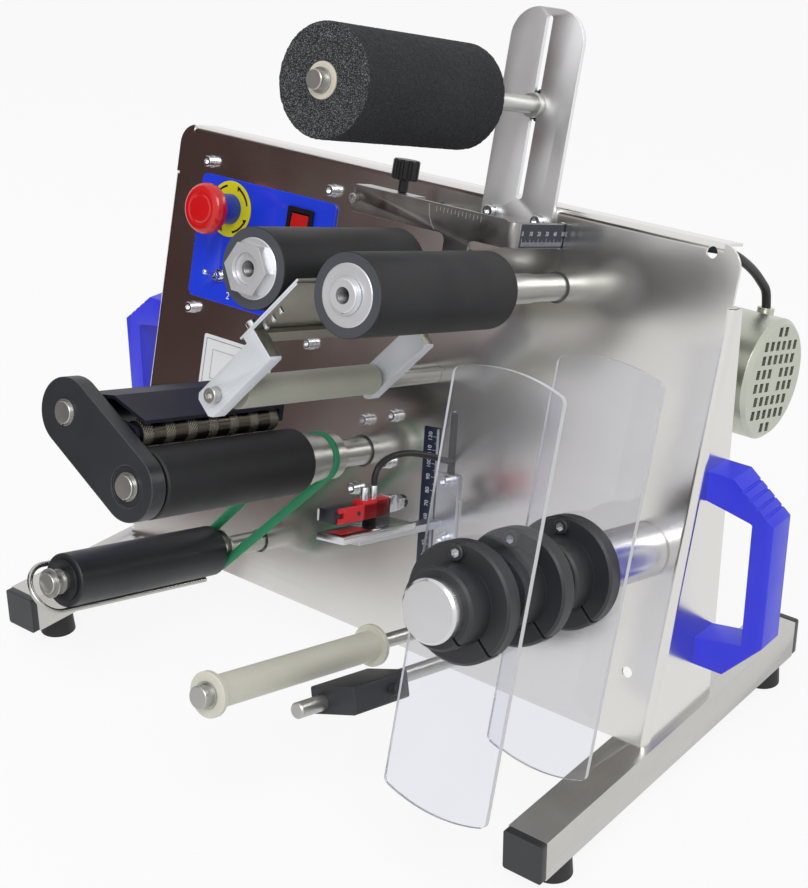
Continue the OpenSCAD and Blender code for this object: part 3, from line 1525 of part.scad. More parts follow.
module sensor_bracket() color("#c3c5c7") on_panel() {
  difference() {
    on_slot(0, 0, gap) linear_extrude(foot_t) square(foot_size, center = true);
    for (s = [-1, 1]) on_slot(0, s * foot_screw_v) bore(screw_r + fit, -over, foot_t + over);
  }
  bar_from = ruler_t + 2 * gap;
  on_slot(0, 0, bar_from) translate([sensor_u - sensor_bar.x / 2, sensor_low - sensor_bar.y, 0])
    cube([sensor_bar.x, sensor_bar.y, sensor_bar_to - bar_from]);
  for (s = [-1, 1]) on_slot(0, s * foot_screw_v, foot_t + gap) {
    washer();
    translate([0, 0, washer_t]) cap_screw(screw_r, screw_len);
  }
  difference() {
    on_slot(0, 0, -sheet_t - gap - backing_t) linear_extrude(backing_t) square(foot_size - [backing_inset, 0], center = true);
    for (s = [-1, 1]) on_slot(0, s * foot_screw_v) bore(screw_r + fit, -sheet_t - gap - backing_t - over, over);
  }
}

module label_sensor() color("#c8202a") on_panel() {
  rear = sensor_front - sensor_size.y;
  high = sensor_low + jaw_low_t + sensor_gap;
  on_slot(sensor_u - sensor_size.x / 2, sensor_low, rear) {
    cube([sensor_size.x, jaw_low_t, sensor_size.y]);
    cube([sensor_size.x, jaw_low_t + sensor_gap + edge, sensor_root]);
    translate([0, jaw_low_t + sensor_gap, 0]) cube([jaw_high_w, jaw_high_t, sensor_size.y]);
    translate([sensor_size.x / 4, jaw_low_t, -sensor_neck]) cube([sensor_size.x / 2, sensor_gap + edge, sensor_neck + edge]);
  }
  for (n = sensor_stud_ns) on_slot(sensor_u, high + jaw_high_t, n) rotate([-90, 0, 0])
    bore(sensor_stud_r, -edge, stud_h);
}

module sensor_lead() color("#17171a") on_panel() tube(sensor_route, sensor_lead_r, 2);

front_panel();
foot_bar_left();
foot_bar_right();
bar_end_caps();
rubber_feet();
handle_left();
handle_right();
panel_screws();
upright_plate();
press_shaft();
press_knob();
foam_roller();
foam_bushes();
positioning_plate();
positioning_rod();
thumb_knob();
control_plate();
switch_bodies();
estop_button();
rocker_key();
toggle_lever();
electrical_box();
power_inlet();
right_roller_shaft();
right_roller_core();
right_roller_rubber();
left_roller_shaft();
left_roller_core();
left_roller_rubber();
bearing_housings();
timing_belts();
worm_gearbox();
gear_motor();
motor_lead();
peel_post();
peel_arms();
peel_plate();
peel_roller();
traction_shaft();
traction_rubber();
support_shaft();
link_plate();
nip_arm();
nip_roller();
rewind_shaft();
rewind_rubber();
wire_clip();
round_belt();
spindle_shaft();
front_collar();
middle_collar();
rear_collar();
front_side_plate();
rear_side_plate();
guide_shaft();
guide_roller();
block_rod();
clamp_block();
depth_ruler();
sensor_bracket();
label_sensor();
sensor_lead();
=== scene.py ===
import bpy, bmesh, json, math
from mathutils import Matrix, Vector, noise
from mathutils.geometry import interpolate_bezier


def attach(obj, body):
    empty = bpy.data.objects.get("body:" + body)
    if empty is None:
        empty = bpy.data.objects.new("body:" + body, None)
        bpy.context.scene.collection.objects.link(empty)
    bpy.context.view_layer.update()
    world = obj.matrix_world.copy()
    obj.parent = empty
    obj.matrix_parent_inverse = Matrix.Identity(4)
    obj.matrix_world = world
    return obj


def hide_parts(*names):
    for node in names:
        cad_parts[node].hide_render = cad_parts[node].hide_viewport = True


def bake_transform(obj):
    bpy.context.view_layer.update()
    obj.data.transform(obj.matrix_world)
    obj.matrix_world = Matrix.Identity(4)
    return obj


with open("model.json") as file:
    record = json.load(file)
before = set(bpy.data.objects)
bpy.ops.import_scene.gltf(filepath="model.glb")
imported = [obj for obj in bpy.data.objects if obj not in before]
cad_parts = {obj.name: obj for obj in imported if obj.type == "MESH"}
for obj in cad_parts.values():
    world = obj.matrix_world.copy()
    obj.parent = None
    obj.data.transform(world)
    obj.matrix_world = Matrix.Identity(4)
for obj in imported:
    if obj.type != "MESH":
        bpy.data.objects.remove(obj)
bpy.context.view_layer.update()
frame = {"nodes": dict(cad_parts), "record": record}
nodes = frame["nodes"]

# Camera. It stands to the right of the machine and above it, where the
# photograph was taken from, and looks slightly down.


def added(name, data):
    """An object with that data, in the scene."""
    item = bpy.data.objects.new(name, data)
    bpy.context.scene.collection.objects.link(item)
    return item


camera = added("camera", bpy.data.cameras.new("camera"))
bpy.context.scene.camera = camera
camera.data.sensor_width = 36
camera.data.lens = 69.16
camera_azimuth, camera_elevation, camera_roll = 38.7, 25.5, -0.25
camera_place = (0.7281, -0.845, 0.7385)


def turned(degrees, axis="Z"):
    """A turn about an axis."""
    return Matrix.Rotation(math.radians(degrees), 4, axis)


turn = turned(camera_azimuth) @ turned(90 - camera_elevation, "X") @ turned(camera_roll)
camera.matrix_world = Matrix.Translation(camera_place) @ turn

# Foot bars of brushed stainless tube, with a moulded cap in each end and a
# rubber foot under it.


def srgb(red, green, blue):
    """A colour given as 0 to 255, as the linear values that a shader takes."""
    linear = []
    for value in (red, green, blue):
        share = value / 255
        linear.append(share / 12.92 if share <= 0.04045 else ((share + 0.055) / 1.055) ** 2.4)
    return (*linear, 1.0)


def shade_group(name, inputs, outputs):
    """An empty node group with those sockets, what it is given and its output node."""
    tree = bpy.data.node_groups.new(name, "ShaderNodeTree")
    for label, kind, value in inputs:
        socket = tree.interface.new_socket(label, in_out="INPUT", socket_type=kind)
        if value is not None:
            socket.default_value = value
    for label, kind in outputs:
        tree.interface.new_socket(label, in_out="OUTPUT", socket_type=kind)
    return tree, tree.nodes.new("NodeGroupInput").outputs, tree.nodes.new("NodeGroupOutput")


def feed(tree, node, inputs):
    """Each of these inputs of a node takes its link or its plain value."""
    for key, value in inputs.items():
        if isinstance(value, bpy.types.NodeSocket):
            tree.links.new(value, node.inputs[key])
        else:
            node.inputs[key].default_value = value


def wire(tree, kind, inputs=None, **settings):
    """A node with its settings and inputs."""
    node = tree.nodes.new(kind)
    for key, value in settings.items():
        setattr(node, key, value)
    feed(tree, node, inputs or {})
    return node


def maths(tree, operation, first, second):
    """The result of an operation on two values."""
    return wire(tree, "ShaderNodeMath", {0: first, 1: second}, operation=operation).outputs[0]


def ranged(tree, value, low, high, to_low=0.0, to_high=1.0):
    """A value carried over from one range to another."""
    return wire(tree, "ShaderNodeMapRange", {"Value": value, "From Min": low, "From Max": high,
                                             "To Min": to_low, "To Max": to_high}).outputs[0]


def clouds(tree, vector, scale, detail, distortion=0.0):
    """Noise, as a value."""
    return wire(tree, "ShaderNodeTexNoise", {"Vector": vector, "Scale": scale, "Detail": detail,
                                             "Distortion": distortion}).outputs[0]


def mixed(tree, factor, first, second):
    """A colour between two."""
    return wire(tree, "ShaderNodeMix", {"Factor": factor, 6: first, 7: second}, data_type="RGBA").outputs[2]


def make_marks():
    """Fine lines or grain from one noise, and slow changes of tone from another."""
    tree, given, out = shade_group(
        "surface_marks",
        [
            ("Vector", "NodeSocketVector", None),
            ("Fine", "NodeSocketVector", (900.0, 900.0, 900.0)),
            ("Slow", "NodeSocketFloat", 25.0),
        ],
        [("Height", "NodeSocketFloat"), ("Tone", "NodeSocketFloat"), ("Smudge", "NodeSocketFloat")],
    )
    stretched = wire(tree, "ShaderNodeVectorMath", {0: given["Vector"], 1: given["Fine"]}, operation="MULTIPLY")
    fine = clouds(tree, stretched.outputs[0], 1.0, 3.0)
    slow = clouds(tree, given["Vector"], given["Slow"], 2.0)
    feed(tree, out, {"Height": fine, "Tone": maths(tree, "MULTIPLY", maths(tree, "ADD", fine, slow), 0.5),
                     "Smudge": clouds(tree, given["Vector"], given["Slow"], 3.0, 0.2)})
    return tree


def make_edges():
    """The rounding of an edge, and a mask that lightens it, partly as rubbed wear and partly as a painted highlight.
    """
    tree, given, out = shade_group(
        "eased_edges",
        [("Radius", "NodeSocketFloat", 0.0005)],
        [("Normal", "NodeSocketVector"), ("Wear_and_highlight", "NodeSocketFloat")],
    )
    rounding = wire(tree, "ShaderNodeBevel", {"Radius": given["Radius"]}, samples=4).outputs[0]
    plain = wire(tree, "ShaderNodeNewGeometry").outputs["Normal"]
    along = wire(tree, "ShaderNodeVectorMath", {0: rounding, 1: plain}, operation="DOT_PRODUCT")
    feed(tree, out, {"Normal": rounding, "Wear_and_highlight": ranged(tree, along.outputs["Value"], 0.995, 0.8)})
    return tree


surface_marks = make_marks()
eased_edges = make_edges()


def new_look(name):
    """A material, its tree of nodes and its surface."""
    look = bpy.data.materials.new(name)
    look.use_nodes = True
    return look, look.node_tree, look.node_tree.nodes["Principled BSDF"]


def finish(name, colour, metal=0.0, rough=0.5, spread=0.06, tone=0.05, fine=900, slow=25.0, height=20,
           edge=0.0004, wear_and_highlight=None, wear_and_highlight_share=0.4, ior=1.5, coat=0.0, tilt=0.0):
    """A surface with its grain or brush lines, slow changes of tone, and edges lightened partly as rubbed wear and
    partly as a painted highlight.

    Colours run from 0 to 255, and the height of the grain is in micrometres.
    """
    look, tree, surface = new_look(name)
    colour = srgb(*colour)
    vector = wire(tree, "ShaderNodeTexCoord").outputs["Object"]
    if tilt:
        vector = wire(tree, "ShaderNodeMapping", {"Vector": vector, "Rotation": (tilt, 0, 0)}).outputs[0]
    grain = fine if isinstance(fine, tuple) else (fine, fine, fine)
    marks = wire(tree, "ShaderNodeGroup", {"Vector": vector, "Fine": grain, "Slow": slow}, node_tree=surface_marks)
    edges = wire(tree, "ShaderNodeGroup", {"Radius": edge}, node_tree=eased_edges)
    dark = tuple(value * (1 - 3 * tone) for value in colour[:3]) + (1.0,)
    light = tuple(min(1.0, value * (1 + 3 * tone)) for value in colour[:3]) + (1.0,)
    # Edge colour, lighter than the surface: partly rubbed wear, partly a painted highlight on every edge.
    wear_and_highlight_colour = srgb(*wear_and_highlight) if wear_and_highlight else tuple(min(1.0, value * 1.6 + 0.02) for value in colour[:3]) + (1.0,)
    toned = mixed(tree, marks.outputs["Tone"], dark, light)
    share = maths(tree, "MULTIPLY", edges.outputs["Wear_and_highlight"], wear_and_highlight_share)
    bump = wire(tree, "ShaderNodeBump", {"Height": marks.outputs["Height"], "Normal": edges.outputs["Normal"],
                                         "Strength": 1.0, "Distance": height / 1e6})
    feed(tree, surface, {
        "Base Color": mixed(tree, share, toned, wear_and_highlight_colour),
        "Roughness": ranged(tree, marks.outputs["Smudge"], 0.3, 0.7, rough - spread, rough + spread),
        "Normal": bump.outputs[0],
        "Metallic": metal,
        "IOR": ior,
        "Coat Weight": coat,
    })
    return look


def dress(node, look):
    """A CAD node keeps its shape and takes that finish."""
    data = nodes[node].data
    data.materials.clear()
    data.materials.append(look)


lean = math.radians(15)
panel_back = 0.006939
stand_high = 0.048
to_face = Matrix((
    (1, 0, 0, 0),
    (0, math.sin(lean), -math.cos(lean), panel_back),
    (0, math.cos(lean), math.sin(lean), stand_high),
    (0, 0, 0, 1),
))
body_of = {node: body for body, members in frame["record"]["behaviour"]["bodies"].items() for node in members}
smooth_angle = math.radians(28)


def on_face(x, w, n=0):
    """A place on the panel, n in front of its face."""
    return to_face @ Matrix.Translation((x, w, n))


def put(name, mesh, looks):
    """An object at the origin with that mesh and its looks."""
    data = bpy.data.meshes.new(name)
    mesh.to_mesh(data)
    mesh.free()
    for look in looks:
        data.materials.append(look)
    return added(name, data)


def keep(name, mesh, looks, body, stands_for=(), smooth=True, at=None):
    """The finished piece, riding on its body and standing for the nodes it replaces."""
    if at is not None:
        mesh.transform(at)
    item = put(name, mesh, looks if isinstance(looks, list) else [looks])
    if smooth:
        item.data.shade_smooth()
        item.data.set_sharp_from_angle(angle=smooth_angle)
    else:
        item.data.shade_flat()
    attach(item, body)
    if stands_for:
        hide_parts(*stands_for)
    return item


def rounded(mesh, edges, width, segments=2):
    """Those edges of a mesh, rounded."""
    bmesh.ops.bevel(mesh, geom=edges, offset=width, offset_type="OFFSET", affect="EDGES", segments=segments,
                    profile=0.5, material=-1, clamp_overlap=True)


def eased(node, looks, width=0.0004):
    """A copy of a CAD node with its sharp edges rounded, in place of the node."""
    mesh = bmesh.new()
    mesh.from_mesh(nodes[node].data)
    bmesh.ops.remove_doubles(mesh, verts=mesh.verts, dist=0.00001)
    bmesh.ops.dissolve_limit(mesh, angle_limit=math.radians(1), verts=mesh.verts, edges=mesh.edges)
    edges = [edge for edge in mesh.edges if edge.is_manifold and edge.calc_face_angle() > math.radians(30)]
    rounded(mesh, edges, width)
    return keep(node + "_eased", mesh, looks, body_of[node], [node])


bar_steel = finish("bar_steel", (196, 194, 190), metal=1.0, rough=0.34, fine=(900, 25, 900), height=10)
cap_plastic = finish("cap_plastic", (38, 40, 44), rough=0.42, fine=1500)
foot_rubber = finish("foot_rubber", (28, 28, 30), rough=0.62, height=30)
bar_ease = 0.0008
for side in ("left", "right"):
    eased("foot_bar_" + side, bar_steel, width=bar_ease)
eased("bar_end_caps", cap_plastic, width=bar_ease)
dress("rubber_feet", foot_rubber)

# Front panel: one stainless sheet, brushed along its length, with its top
# lip and side flanges folded back. A blank paper label is stuck on its face.
panel_steel = finish("panel_steel", (222, 220, 217), metal=1.0, rough=0.2, spread=0.03, tone=0.02,
                     fine=(4, 30, 1100), slow=12.0, height=5, edge=0.0003, tilt=lean)
dress("front_panel", panel_steel)
label_paper = finish("label_paper", (226, 228, 230), rough=0.55, fine=2500, height=10)
label_at, label_size, label_corner, label_thick = (-0.161, 0.163), (0.074, 0.046), 0.002, 0.00015
label_n, label_print_n = 0.0002, 0.0004


def card(size, corner, thick):
    """A thin card with rounded corners, centred on its own origin."""
    mesh = bmesh.new()
    bmesh.ops.create_grid(mesh, x_segments=1, y_segments=1, size=0.5)
    bmesh.ops.scale(mesh, verts=mesh.verts, vec=(*size, 1))
    bmesh.ops.bevel(mesh, geom=mesh.verts[:], offset=corner, offset_type="OFFSET", affect="VERTICES",
                    segments=4, profile=0.5, material=-1)
    bmesh.ops.solidify(mesh, geom=mesh.faces[:], thickness=thick)
    bmesh.ops.recalc_face_normals(mesh, faces=mesh.faces)
    return mesh


mesh = card(label_size, label_corner, label_thick)
keep("paper_label", mesh, label_paper, "frame", at=on_face(*label_at, label_n))
# Printed frames on the label, blank inside.
label_ink = finish("label_ink", (70, 74, 84), fine=2500, height=10)
for count, (inset, line) in enumerate(((0.003, 0.0006), (0.011, 0.0004))):
    mesh = bmesh.new()
    wide, high = label_size[0] / 2 - inset, label_size[1] / 2 - inset
    bmesh.ops.create_grid(mesh, x_segments=1, y_segments=1, size=1)
    bmesh.ops.scale(mesh, verts=mesh.verts, vec=(wide, high, 1))
    bmesh.ops.inset_individual(mesh, faces=mesh.faces[:], thickness=line)
    middle = max(mesh.faces, key=lambda face: face.calc_area())
    bmesh.ops.delete(mesh, geom=[middle], context="FACES")
    keep("label_frame_" + str(count), mesh, label_ink, "frame", smooth=False,
         at=on_face(*label_at, label_print_n))

# Lifting handles, moulded in blue plastic and screwed to the side flanges.
# Four grooves are moulded across the slope at the top of each.
handle_blue = finish("handle_blue", (50, 56, 230), rough=0.36, fine=2200, edge=0.0008, wear_and_highlight=(120, 126, 245))
handle_reach, handle_high, handle_wide, grip_thick, panel_wide = 0.05, 0.15, 0.024, 0.0155, 0.51
handle_outline = [(0, 0), (0.44, 0), (1, 0.207), (1, 0.827), (0.38, 1), (0, 1)]
finger_outline = [(0, 0.853), (0.957, 0.813), (1, 0.8), (1, 0.187), (0, 0.147)]
handle_back = panel_back + 0.0885 - 0.0045 - handle_wide / 2
handle_rise, handle_round = 0.039, 0.0028
groove_shares, groove_half, groove_deep = (0.2, 0.38, 0.56, 0.74), 0.0011, 0.0012
for side, name in ((-1, "handle_left"), (1, "handle_right")):
    outline = [Vector((x * handle_reach, y * handle_high)) for x, y in handle_outline[:4]]
    slope_from, slope_to = (Vector((x * handle_reach, y * handle_high)) for x, y in handle_outline[3:5])
    along = (slope_to - slope_from).normalized()
    inward = Vector((-along.y, along.x))
    for share in groove_shares:
        middle = slope_from.lerp(slope_to, share)
        outline += [middle - along * groove_half, middle - along * groove_half / 2 + inward * groove_deep,
                    middle + along * groove_half / 2 + inward * groove_deep, middle + along * groove_half]
    outline += [Vector((x * handle_reach, y * handle_high)) for x, y in handle_outline[4:]]
    outline += [Vector((x * (handle_reach - grip_thick), y * handle_high)) for x, y in finger_outline]
    mesh = bmesh.new()
    mesh.faces.new([mesh.verts.new((point.x, -handle_wide / 2, point.y)) for point in outline])
    grown = bmesh.ops.extrude_face_region(mesh, geom=mesh.faces[:])
    bmesh.ops.translate(mesh, vec=(0, handle_wide, 0),
                        verts=[item for item in grown["geom"] if isinstance(item, bmesh.types.BMVert)])
    bmesh.ops.recalc_face_normals(mesh, faces=mesh.faces)
    corners = [edge for edge in mesh.edges if edge.calc_length() > 0.004 and edge.calc_face_angle() > 0.1
               and max(vert.co.x for vert in edge.verts) > 0.001]
    rounded(mesh, corners, handle_round, 4)
    place = Matrix.Translation((side * panel_wide / 2, handle_back, stand_high + handle_rise))
    keep(name + "_moulding", mesh, handle_blue, "frame", [name],
         at=place @ turned(0 if side > 0 else 180))

# Screws of stainless steel: button and cap heads on washers, which hold the
# boxes behind the panel, the upright plate and the handles.
screw_steel = finish("screw_steel", (205, 207, 210), metal=1.0, rough=0.22, fine=1500, height=10, edge=0.0003)
dress("panel_screws", screw_steel)

# Upright plate of ground stainless steel, rounded at its top, with the long
# slot in which the press roller's stud is clamped.
ground_steel = finish("ground_steel", (236, 236, 238), metal=1.0, rough=0.45, tone=0.015, fine=(60, 900, 1200),
                      height=8, tilt=lean)
eased("upright_plate", ground_steel)

# Press roller: a soft foam sleeve on nylon bushes, which turns on a steel
# stud. A ridged knob behind the plate clamps the stud at its height.
turned_steel = finish("turned_steel", (182, 182, 178), metal=0.9, rough=0.34, tone=0.03, fine=1400, height=10,
                      edge=0.0003)
knob_plastic = finish("knob_plastic", (24, 24, 27), rough=0.4, fine=2000)
nylon = finish("nylon", (206, 200, 184), rough=0.42, height=10)


def spun(profile, steps=64):
    """A turned part: pairs of radius and height, turned about Z and closed."""
    mesh = bmesh.new()
    points = [mesh.verts.new((radius, 0, height)) for radius, height in profile]
    lines = [mesh.edges.new(pair) for pair in zip(points, points[1:])]
    bmesh.ops.spin(mesh, geom=points + lines, cent=(0, 0, 0), axis=(0, 0, 1), angle=2 * math.pi, steps=steps,
                   use_merge=True, use_duplicate=False)
    bmesh.ops.remove_doubles(mesh, verts=mesh.verts, dist=0.000001)
    bmesh.ops.recalc_face_normals(mesh, faces=mesh.faces)
    return mesh


def make_foam(name, speck):
    """Open cells that show as pale specks over near black foam."""
    look = finish(name, (34, 35, 39), rough=0.9, spread=0.05, height=150, fine=700, tone=0.1, edge=0.001)
    tree = look.node_tree
    vector = wire(tree, "ShaderNodeTexCoord").outputs["Object"]
    cells = wire(tree, "ShaderNodeTexVoronoi", {"Vector": vector, "Scale": 900.0, "Randomness": 1.0},
                 feature="DISTANCE_TO_EDGE")
    walls = ranged(tree, cells.outputs["Distance"], 0.02, 0.28, 1.0, 0.0)
    patches = ranged(tree, clouds(tree, vector, 1500.0, 2.0), 0.48, 0.62)
    specks = maths(tree, "MULTIPLY", walls, patches)
    bump = wire(tree, "ShaderNodeBump", {"Height": specks, "Strength": 0.8, "Distance": 0.00025})
    feed(tree, tree.nodes["Principled BSDF"], {"Base Color": mixed(tree, specks, srgb(22, 23, 26), speck),
                                               "Normal": bump.outputs[0]})
    return look


def pitted_sleeve(inner, outer, low, high, cell, rim, deep):
    """A foam sleeve with rounded rims, whose open cells dent its skin and its ends."""
    corner = [(outer - rim * (1 - math.cos(turn)), rim * (1 - math.sin(turn)))
              for turn in (math.radians(15 * step) for step in range(7))]
    across = max(2, round((outer - rim - inner) / cell))
    along = max(2, round((high - low - 2 * rim) / cell))
    profile = [(inner + (outer - rim - inner) * step / across, low) for step in range(across)]
    profile += [(radius, low + rise) for radius, rise in reversed(corner)]
    profile += [(outer, low + rim + (high - low - 2 * rim) * step / along) for step in range(1, along)]
    profile += [(radius, high - rise) for radius, rise in corner]
    profile += [(inner + (outer - rim - inner) * step / across, high) for step in reversed(range(across))]
    mesh = spun(profile + [(inner, low)], round(2 * math.pi * outer / cell))
    mesh.normal_update()
    for vert in mesh.verts:
        if vert.co.xy.length > inner + cell / 2:
            pits = noise.noise(vert.co * 420) + 0.6 * noise.noise(vert.co * 900)
            vert.co -= vert.normal * deep * min(1.0, max(0.0, pits + 0.25))
    return mesh


# The end faces take much paler specks than the skin: painted light, as if the ends were lit, on the same foam.
foam_looks = [make_foam("foam_skin", srgb(66, 67, 72)), make_foam("foam_ends_painted_lit", srgb(132, 134, 140))]
foam_size, press_x, press_w = (0.0112, 0.034, 0.09, 0.23), 0.079, 0.4105
dress("press_shaft", turned_steel)
dress("press_knob", knob_plastic)
mesh = pitted_sleeve(*foam_size, cell=0.0013, rim=0.0015, deep=0.0006)
for face in mesh.faces:
    middle = face.calc_center_median()
    face.material_index = 1 if min(middle.z - foam_size[2], foam_size[3] - middle.z) < 0.002 else 0
foam = keep("pitted_foam", mesh, foam_looks, "press_roller", ["foam_roller"], at=on_face(press_x, press_w))
dress("foam_bushes", nylon)

# Positioning plate, bent from steel and marked by use, on a block with a rod
# that slides in the panel. A ridged thumb knob clamps it from above.
worn_steel = finish("worn_steel", (150, 148, 146), metal=1.0, rough=0.34, spread=0.1, tone=0.07,
                    fine=(25, 900, 1100), slow=60.0, edge=0.0006, tilt=lean)
eased("positioning_plate", worn_steel, width=0.0005)
scale_navy = finish("scale_navy", (20, 28, 50), rough=0.35, height=6)
scale_white = finish("scale_white", (226, 230, 236), rough=0.4, height=4)


def slab(low, high, round_by=0.0003):
    """A block between two corners with its edges rounded."""
    mesh = bmesh.new()
    bmesh.ops.create_cube(mesh, size=1)
    low, high = Vector(low), Vector(high)
    bmesh.ops.scale(mesh, vec=high - low, verts=mesh.verts)
    bmesh.ops.translate(mesh, vec=(high + low) / 2, verts=mesh.verts)
    if round_by:
        rounded(mesh, mesh.edges[:], round_by)
    return mesh


def join(parts):
    """One mesh of several, each with the number of its finish."""
    whole = bmesh.new()
    for part, look in parts:
        for face in part.faces:
            face.material_index = look
        data = bpy.data.meshes.new("part")
        part.to_mesh(data)
        part.free()
        whole.from_mesh(data)
        bpy.data.meshes.remove(data)
    return whole


def words(text, size, at, thick=0.00004):
    """Printed figures as a thin mesh, centred on a point."""
    curve = bpy.data.curves.new("figures", "FONT")
    curve.body, curve.size, curve.extrude = text, size, thick
    curve.align_x, curve.align_y = "CENTER", "CENTER"
    item = bpy.data.objects.new("figures", curve)
    data = bpy.data.meshes.new_from_object(item)
    mesh = bmesh.new()
    mesh.from_mesh(data)
    mesh.transform(Matrix.Translation(at))
    bpy.data.objects.remove(item)
    bpy.data.curves.remove(curve)
    bpy.data.meshes.remove(data)
    return mesh


def ruler_marks(length, first, step_low, step_high, edge):
    """Marks a millimetre apart along X from an edge, each fifth and tenth longer."""
    parts, thick, half = [], 0.00004, 0.00012
    for count in range(round(length * 1000) + 1):
        reach = step_high if count % 10 == 0 else (step_low + step_high) / 2 if count % 5 == 0 else step_low
        x = first + count / 1000
        parts.append((slab((x - half, edge, -thick), (x + half, edge + reach, thick), 0), 0))
    return parts


# The scale on the plate's leg, seen from its right: X runs back to the panel.
leg_face_x, scale_low, scale_front = 0.1181, 0.3195, 0.0535
to_leg = to_face @ Matrix((
    (0, 0, 1, leg_face_x + 0.00006),
    (0, 1, 0, scale_low),
    (-1, 0, 0, scale_front),
    (0, 0, 0, 1),
))
parts = ruler_marks(0.05, 0.002, 0.0028, 0.0052, 0.0012)
for number in range(6):
    parts.append((words(str(number * 10), 0.0042, (0.002 + number / 100, 0.0095, 0)), 0))
keep("leg_scale_marks", join(parts), scale_white, "position_plate", smooth=False, at=to_leg)
mesh = slab((-0.0005, 0.0, -0.0002), (0.0555, 0.016, 0.00002), 0)
keep("leg_scale", mesh, scale_navy, "position_plate", smooth=False, at=to_leg)
# Scribed lines and ticks on the plate's face.
scribed = finish("scribed", (236, 236, 232), metal=0.6, rough=0.4, height=4)
plate_front, line_half = 0.06002, 0.00022
parts = []
for count in range(13):
    x = 0.052 + count * 0.0031
    parts.append((slab((x, 0.3345 - (0.0022 if count % 2 else 0.0032), 0), (x + 0.0003, 0.3352, 0.00003), 0), 0))
bend_points = [(0.0455, 0.3355), (0.0462, 0.331), (0.0475, 0.3265), (0.0497, 0.3225), (0.0525, 0.3195)]
for (x0, w0), (x1, w1) in zip(bend_points, bend_points[1:]):
    stroke = Vector((x1 - x0, w1 - w0, 0))
    part = slab((0, -line_half, 0), (stroke.length * 1.04, line_half, 0.00003), 0)
    part.transform(Matrix.Translation((x0, w0, 0)) @ Matrix.Rotation(math.atan2(stroke.y, stroke.x), 4, "Z"))
    parts.append((part, 0))
keep("scribed_marks", join(parts), scribed, "position_plate", smooth=False,
     at=on_face(0, 0, plate_front))
dress("positioning_rod", turned_steel)
dress("thumb_knob", knob_plastic)

# Controls on a blue printed plate: a mushroom stop button on a yellow ring,
# a lit rocker switch and a small toggle.
control_blue = finish("control_blue", (28, 62, 224), rough=0.22, spread=0.04, tone=0.02, height=4,
                      wear_and_highlight=(90, 130, 250), coat=0.3)
eased("control_plate", control_blue, width=0.0005)
ring_yellow = finish("ring_yellow", (222, 214, 22), rough=0.3, tone=0.03, height=6)
shank_blue = finish("shank_blue", (26, 60, 170), rough=0.35, height=10)
switch_black = finish("switch_black", (20, 20, 23), rough=0.3, height=10)
lever_chrome = finish("lever_chrome", (222, 224, 228), metal=1.0, rough=0.1, spread=0.03, tone=0.02, height=4)
# The cap's edges are lightened a little, mostly as a painted highlight on the rim.
stop_red = finish("stop_red", (208, 10, 16), rough=0.24, spread=0.05, tone=0.03, height=6, coat=0.3,
                  wear_and_highlight=(236, 34, 36), wear_and_highlight_share=0.2)
key_red = finish("key_red", (196, 22, 26), rough=0.2, height=6, coat=0.5, wear_and_highlight=(230, 90, 90))
dress("switch_bodies", ring_yellow)
for look in (shank_blue, switch_black, lever_chrome):
    nodes["switch_bodies"].data.materials.append(look)
to_plane = to_face.inverted()
stop_x, stop_w, rocker_x, toggle_x = -0.1875, 0.2885, -0.1145, -0.1885
ring_back, ring_top, ring_print_n = 0.0014, 0.0024, 0.00231
for face in nodes["switch_bodies"].data.polygons:
    at = to_plane @ face.center
    if abs(at.x - rocker_x) < 0.02:
        face.material_index = 2
    elif abs(at.y - stop_w) < 0.03:
        face.material_index = 1 if at.z > ring_top or at.z < ring_back else 0
    else:
        face.material_index = 3
dress("estop_button", stop_red)

# The button's cap has a rounded rim and a raised disc; its ring carries
# curved arrow marks, and the plate a figure by the toggle.
cap = [(0, 0.0255), (0.0105, 0.0255), (0.0105, 0.0248), (0.0185, 0.0248), (0.0196, 0.0262), (0.02, 0.0285),
       (0.0198, 0.0308), (0.019, 0.0328), (0.0175, 0.0345), (0.0155, 0.0354), (0.0128, 0.0357), (0.0118, 0.0353),
       (0.0112, 0.0352), (0.0106, 0.0355), (0.0098, 0.036), (0.006, 0.0362), (0, 0.0362)]
stem = spun([(0, 0.0068), (0.0104, 0.0068), (0.0104, 0.0256), (0, 0.0256)])
keep("stop_cap", join([(spun(cap, 96), 0), (stem, 0)]), stop_red, "estop_button", ["estop_button"],
     at=on_face(stop_x, stop_w))
print_black = finish("print_black", (24, 24, 22), rough=0.4, height=4)
parts = []
for start in (20, 110, 200, 290):
    for count in range(9):
        part = slab((0.0175, -0.0009, 0), (0.0192, 0.0009, 0.00006), 0)
        part.transform(turned(start + count * 5))
        parts.append((part, 0))
    head = bmesh.new()
    bmesh.ops.create_circle(head, cap_ends=True, segments=3, radius=0.0026)
    head.transform(turned(start + 48) @ Matrix.Translation((0.01835, 0, 0.00006)) @ turned(90))
    parts.append((head, 0))
keep("ring_arrows", join(parts), print_black, "frame", smooth=False,
     at=on_face(stop_x, stop_w, ring_print_n))
print_white = finish("print_white", (236, 238, 242), rough=0.4, height=4)
figure_high, figure_at = 0.008, (toggle_x + 0.0105, 0.2205, 0.00155)
figure = words("2", figure_high, figure_at)
keep("toggle_figure", figure, print_white, "frame", smooth=False, at=to_face)
dress("rocker_key", key_red)
dress("toggle_lever", lever_chrome)

# Electrical box folded from sheet behind the controls, with the moulded
# mains inlet in its rear wall.
box_paint = finish("box_paint", (148, 150, 152), fine=1600, height=30)
eased("electrical_box", box_paint)
dress("power_inlet", switch_black)

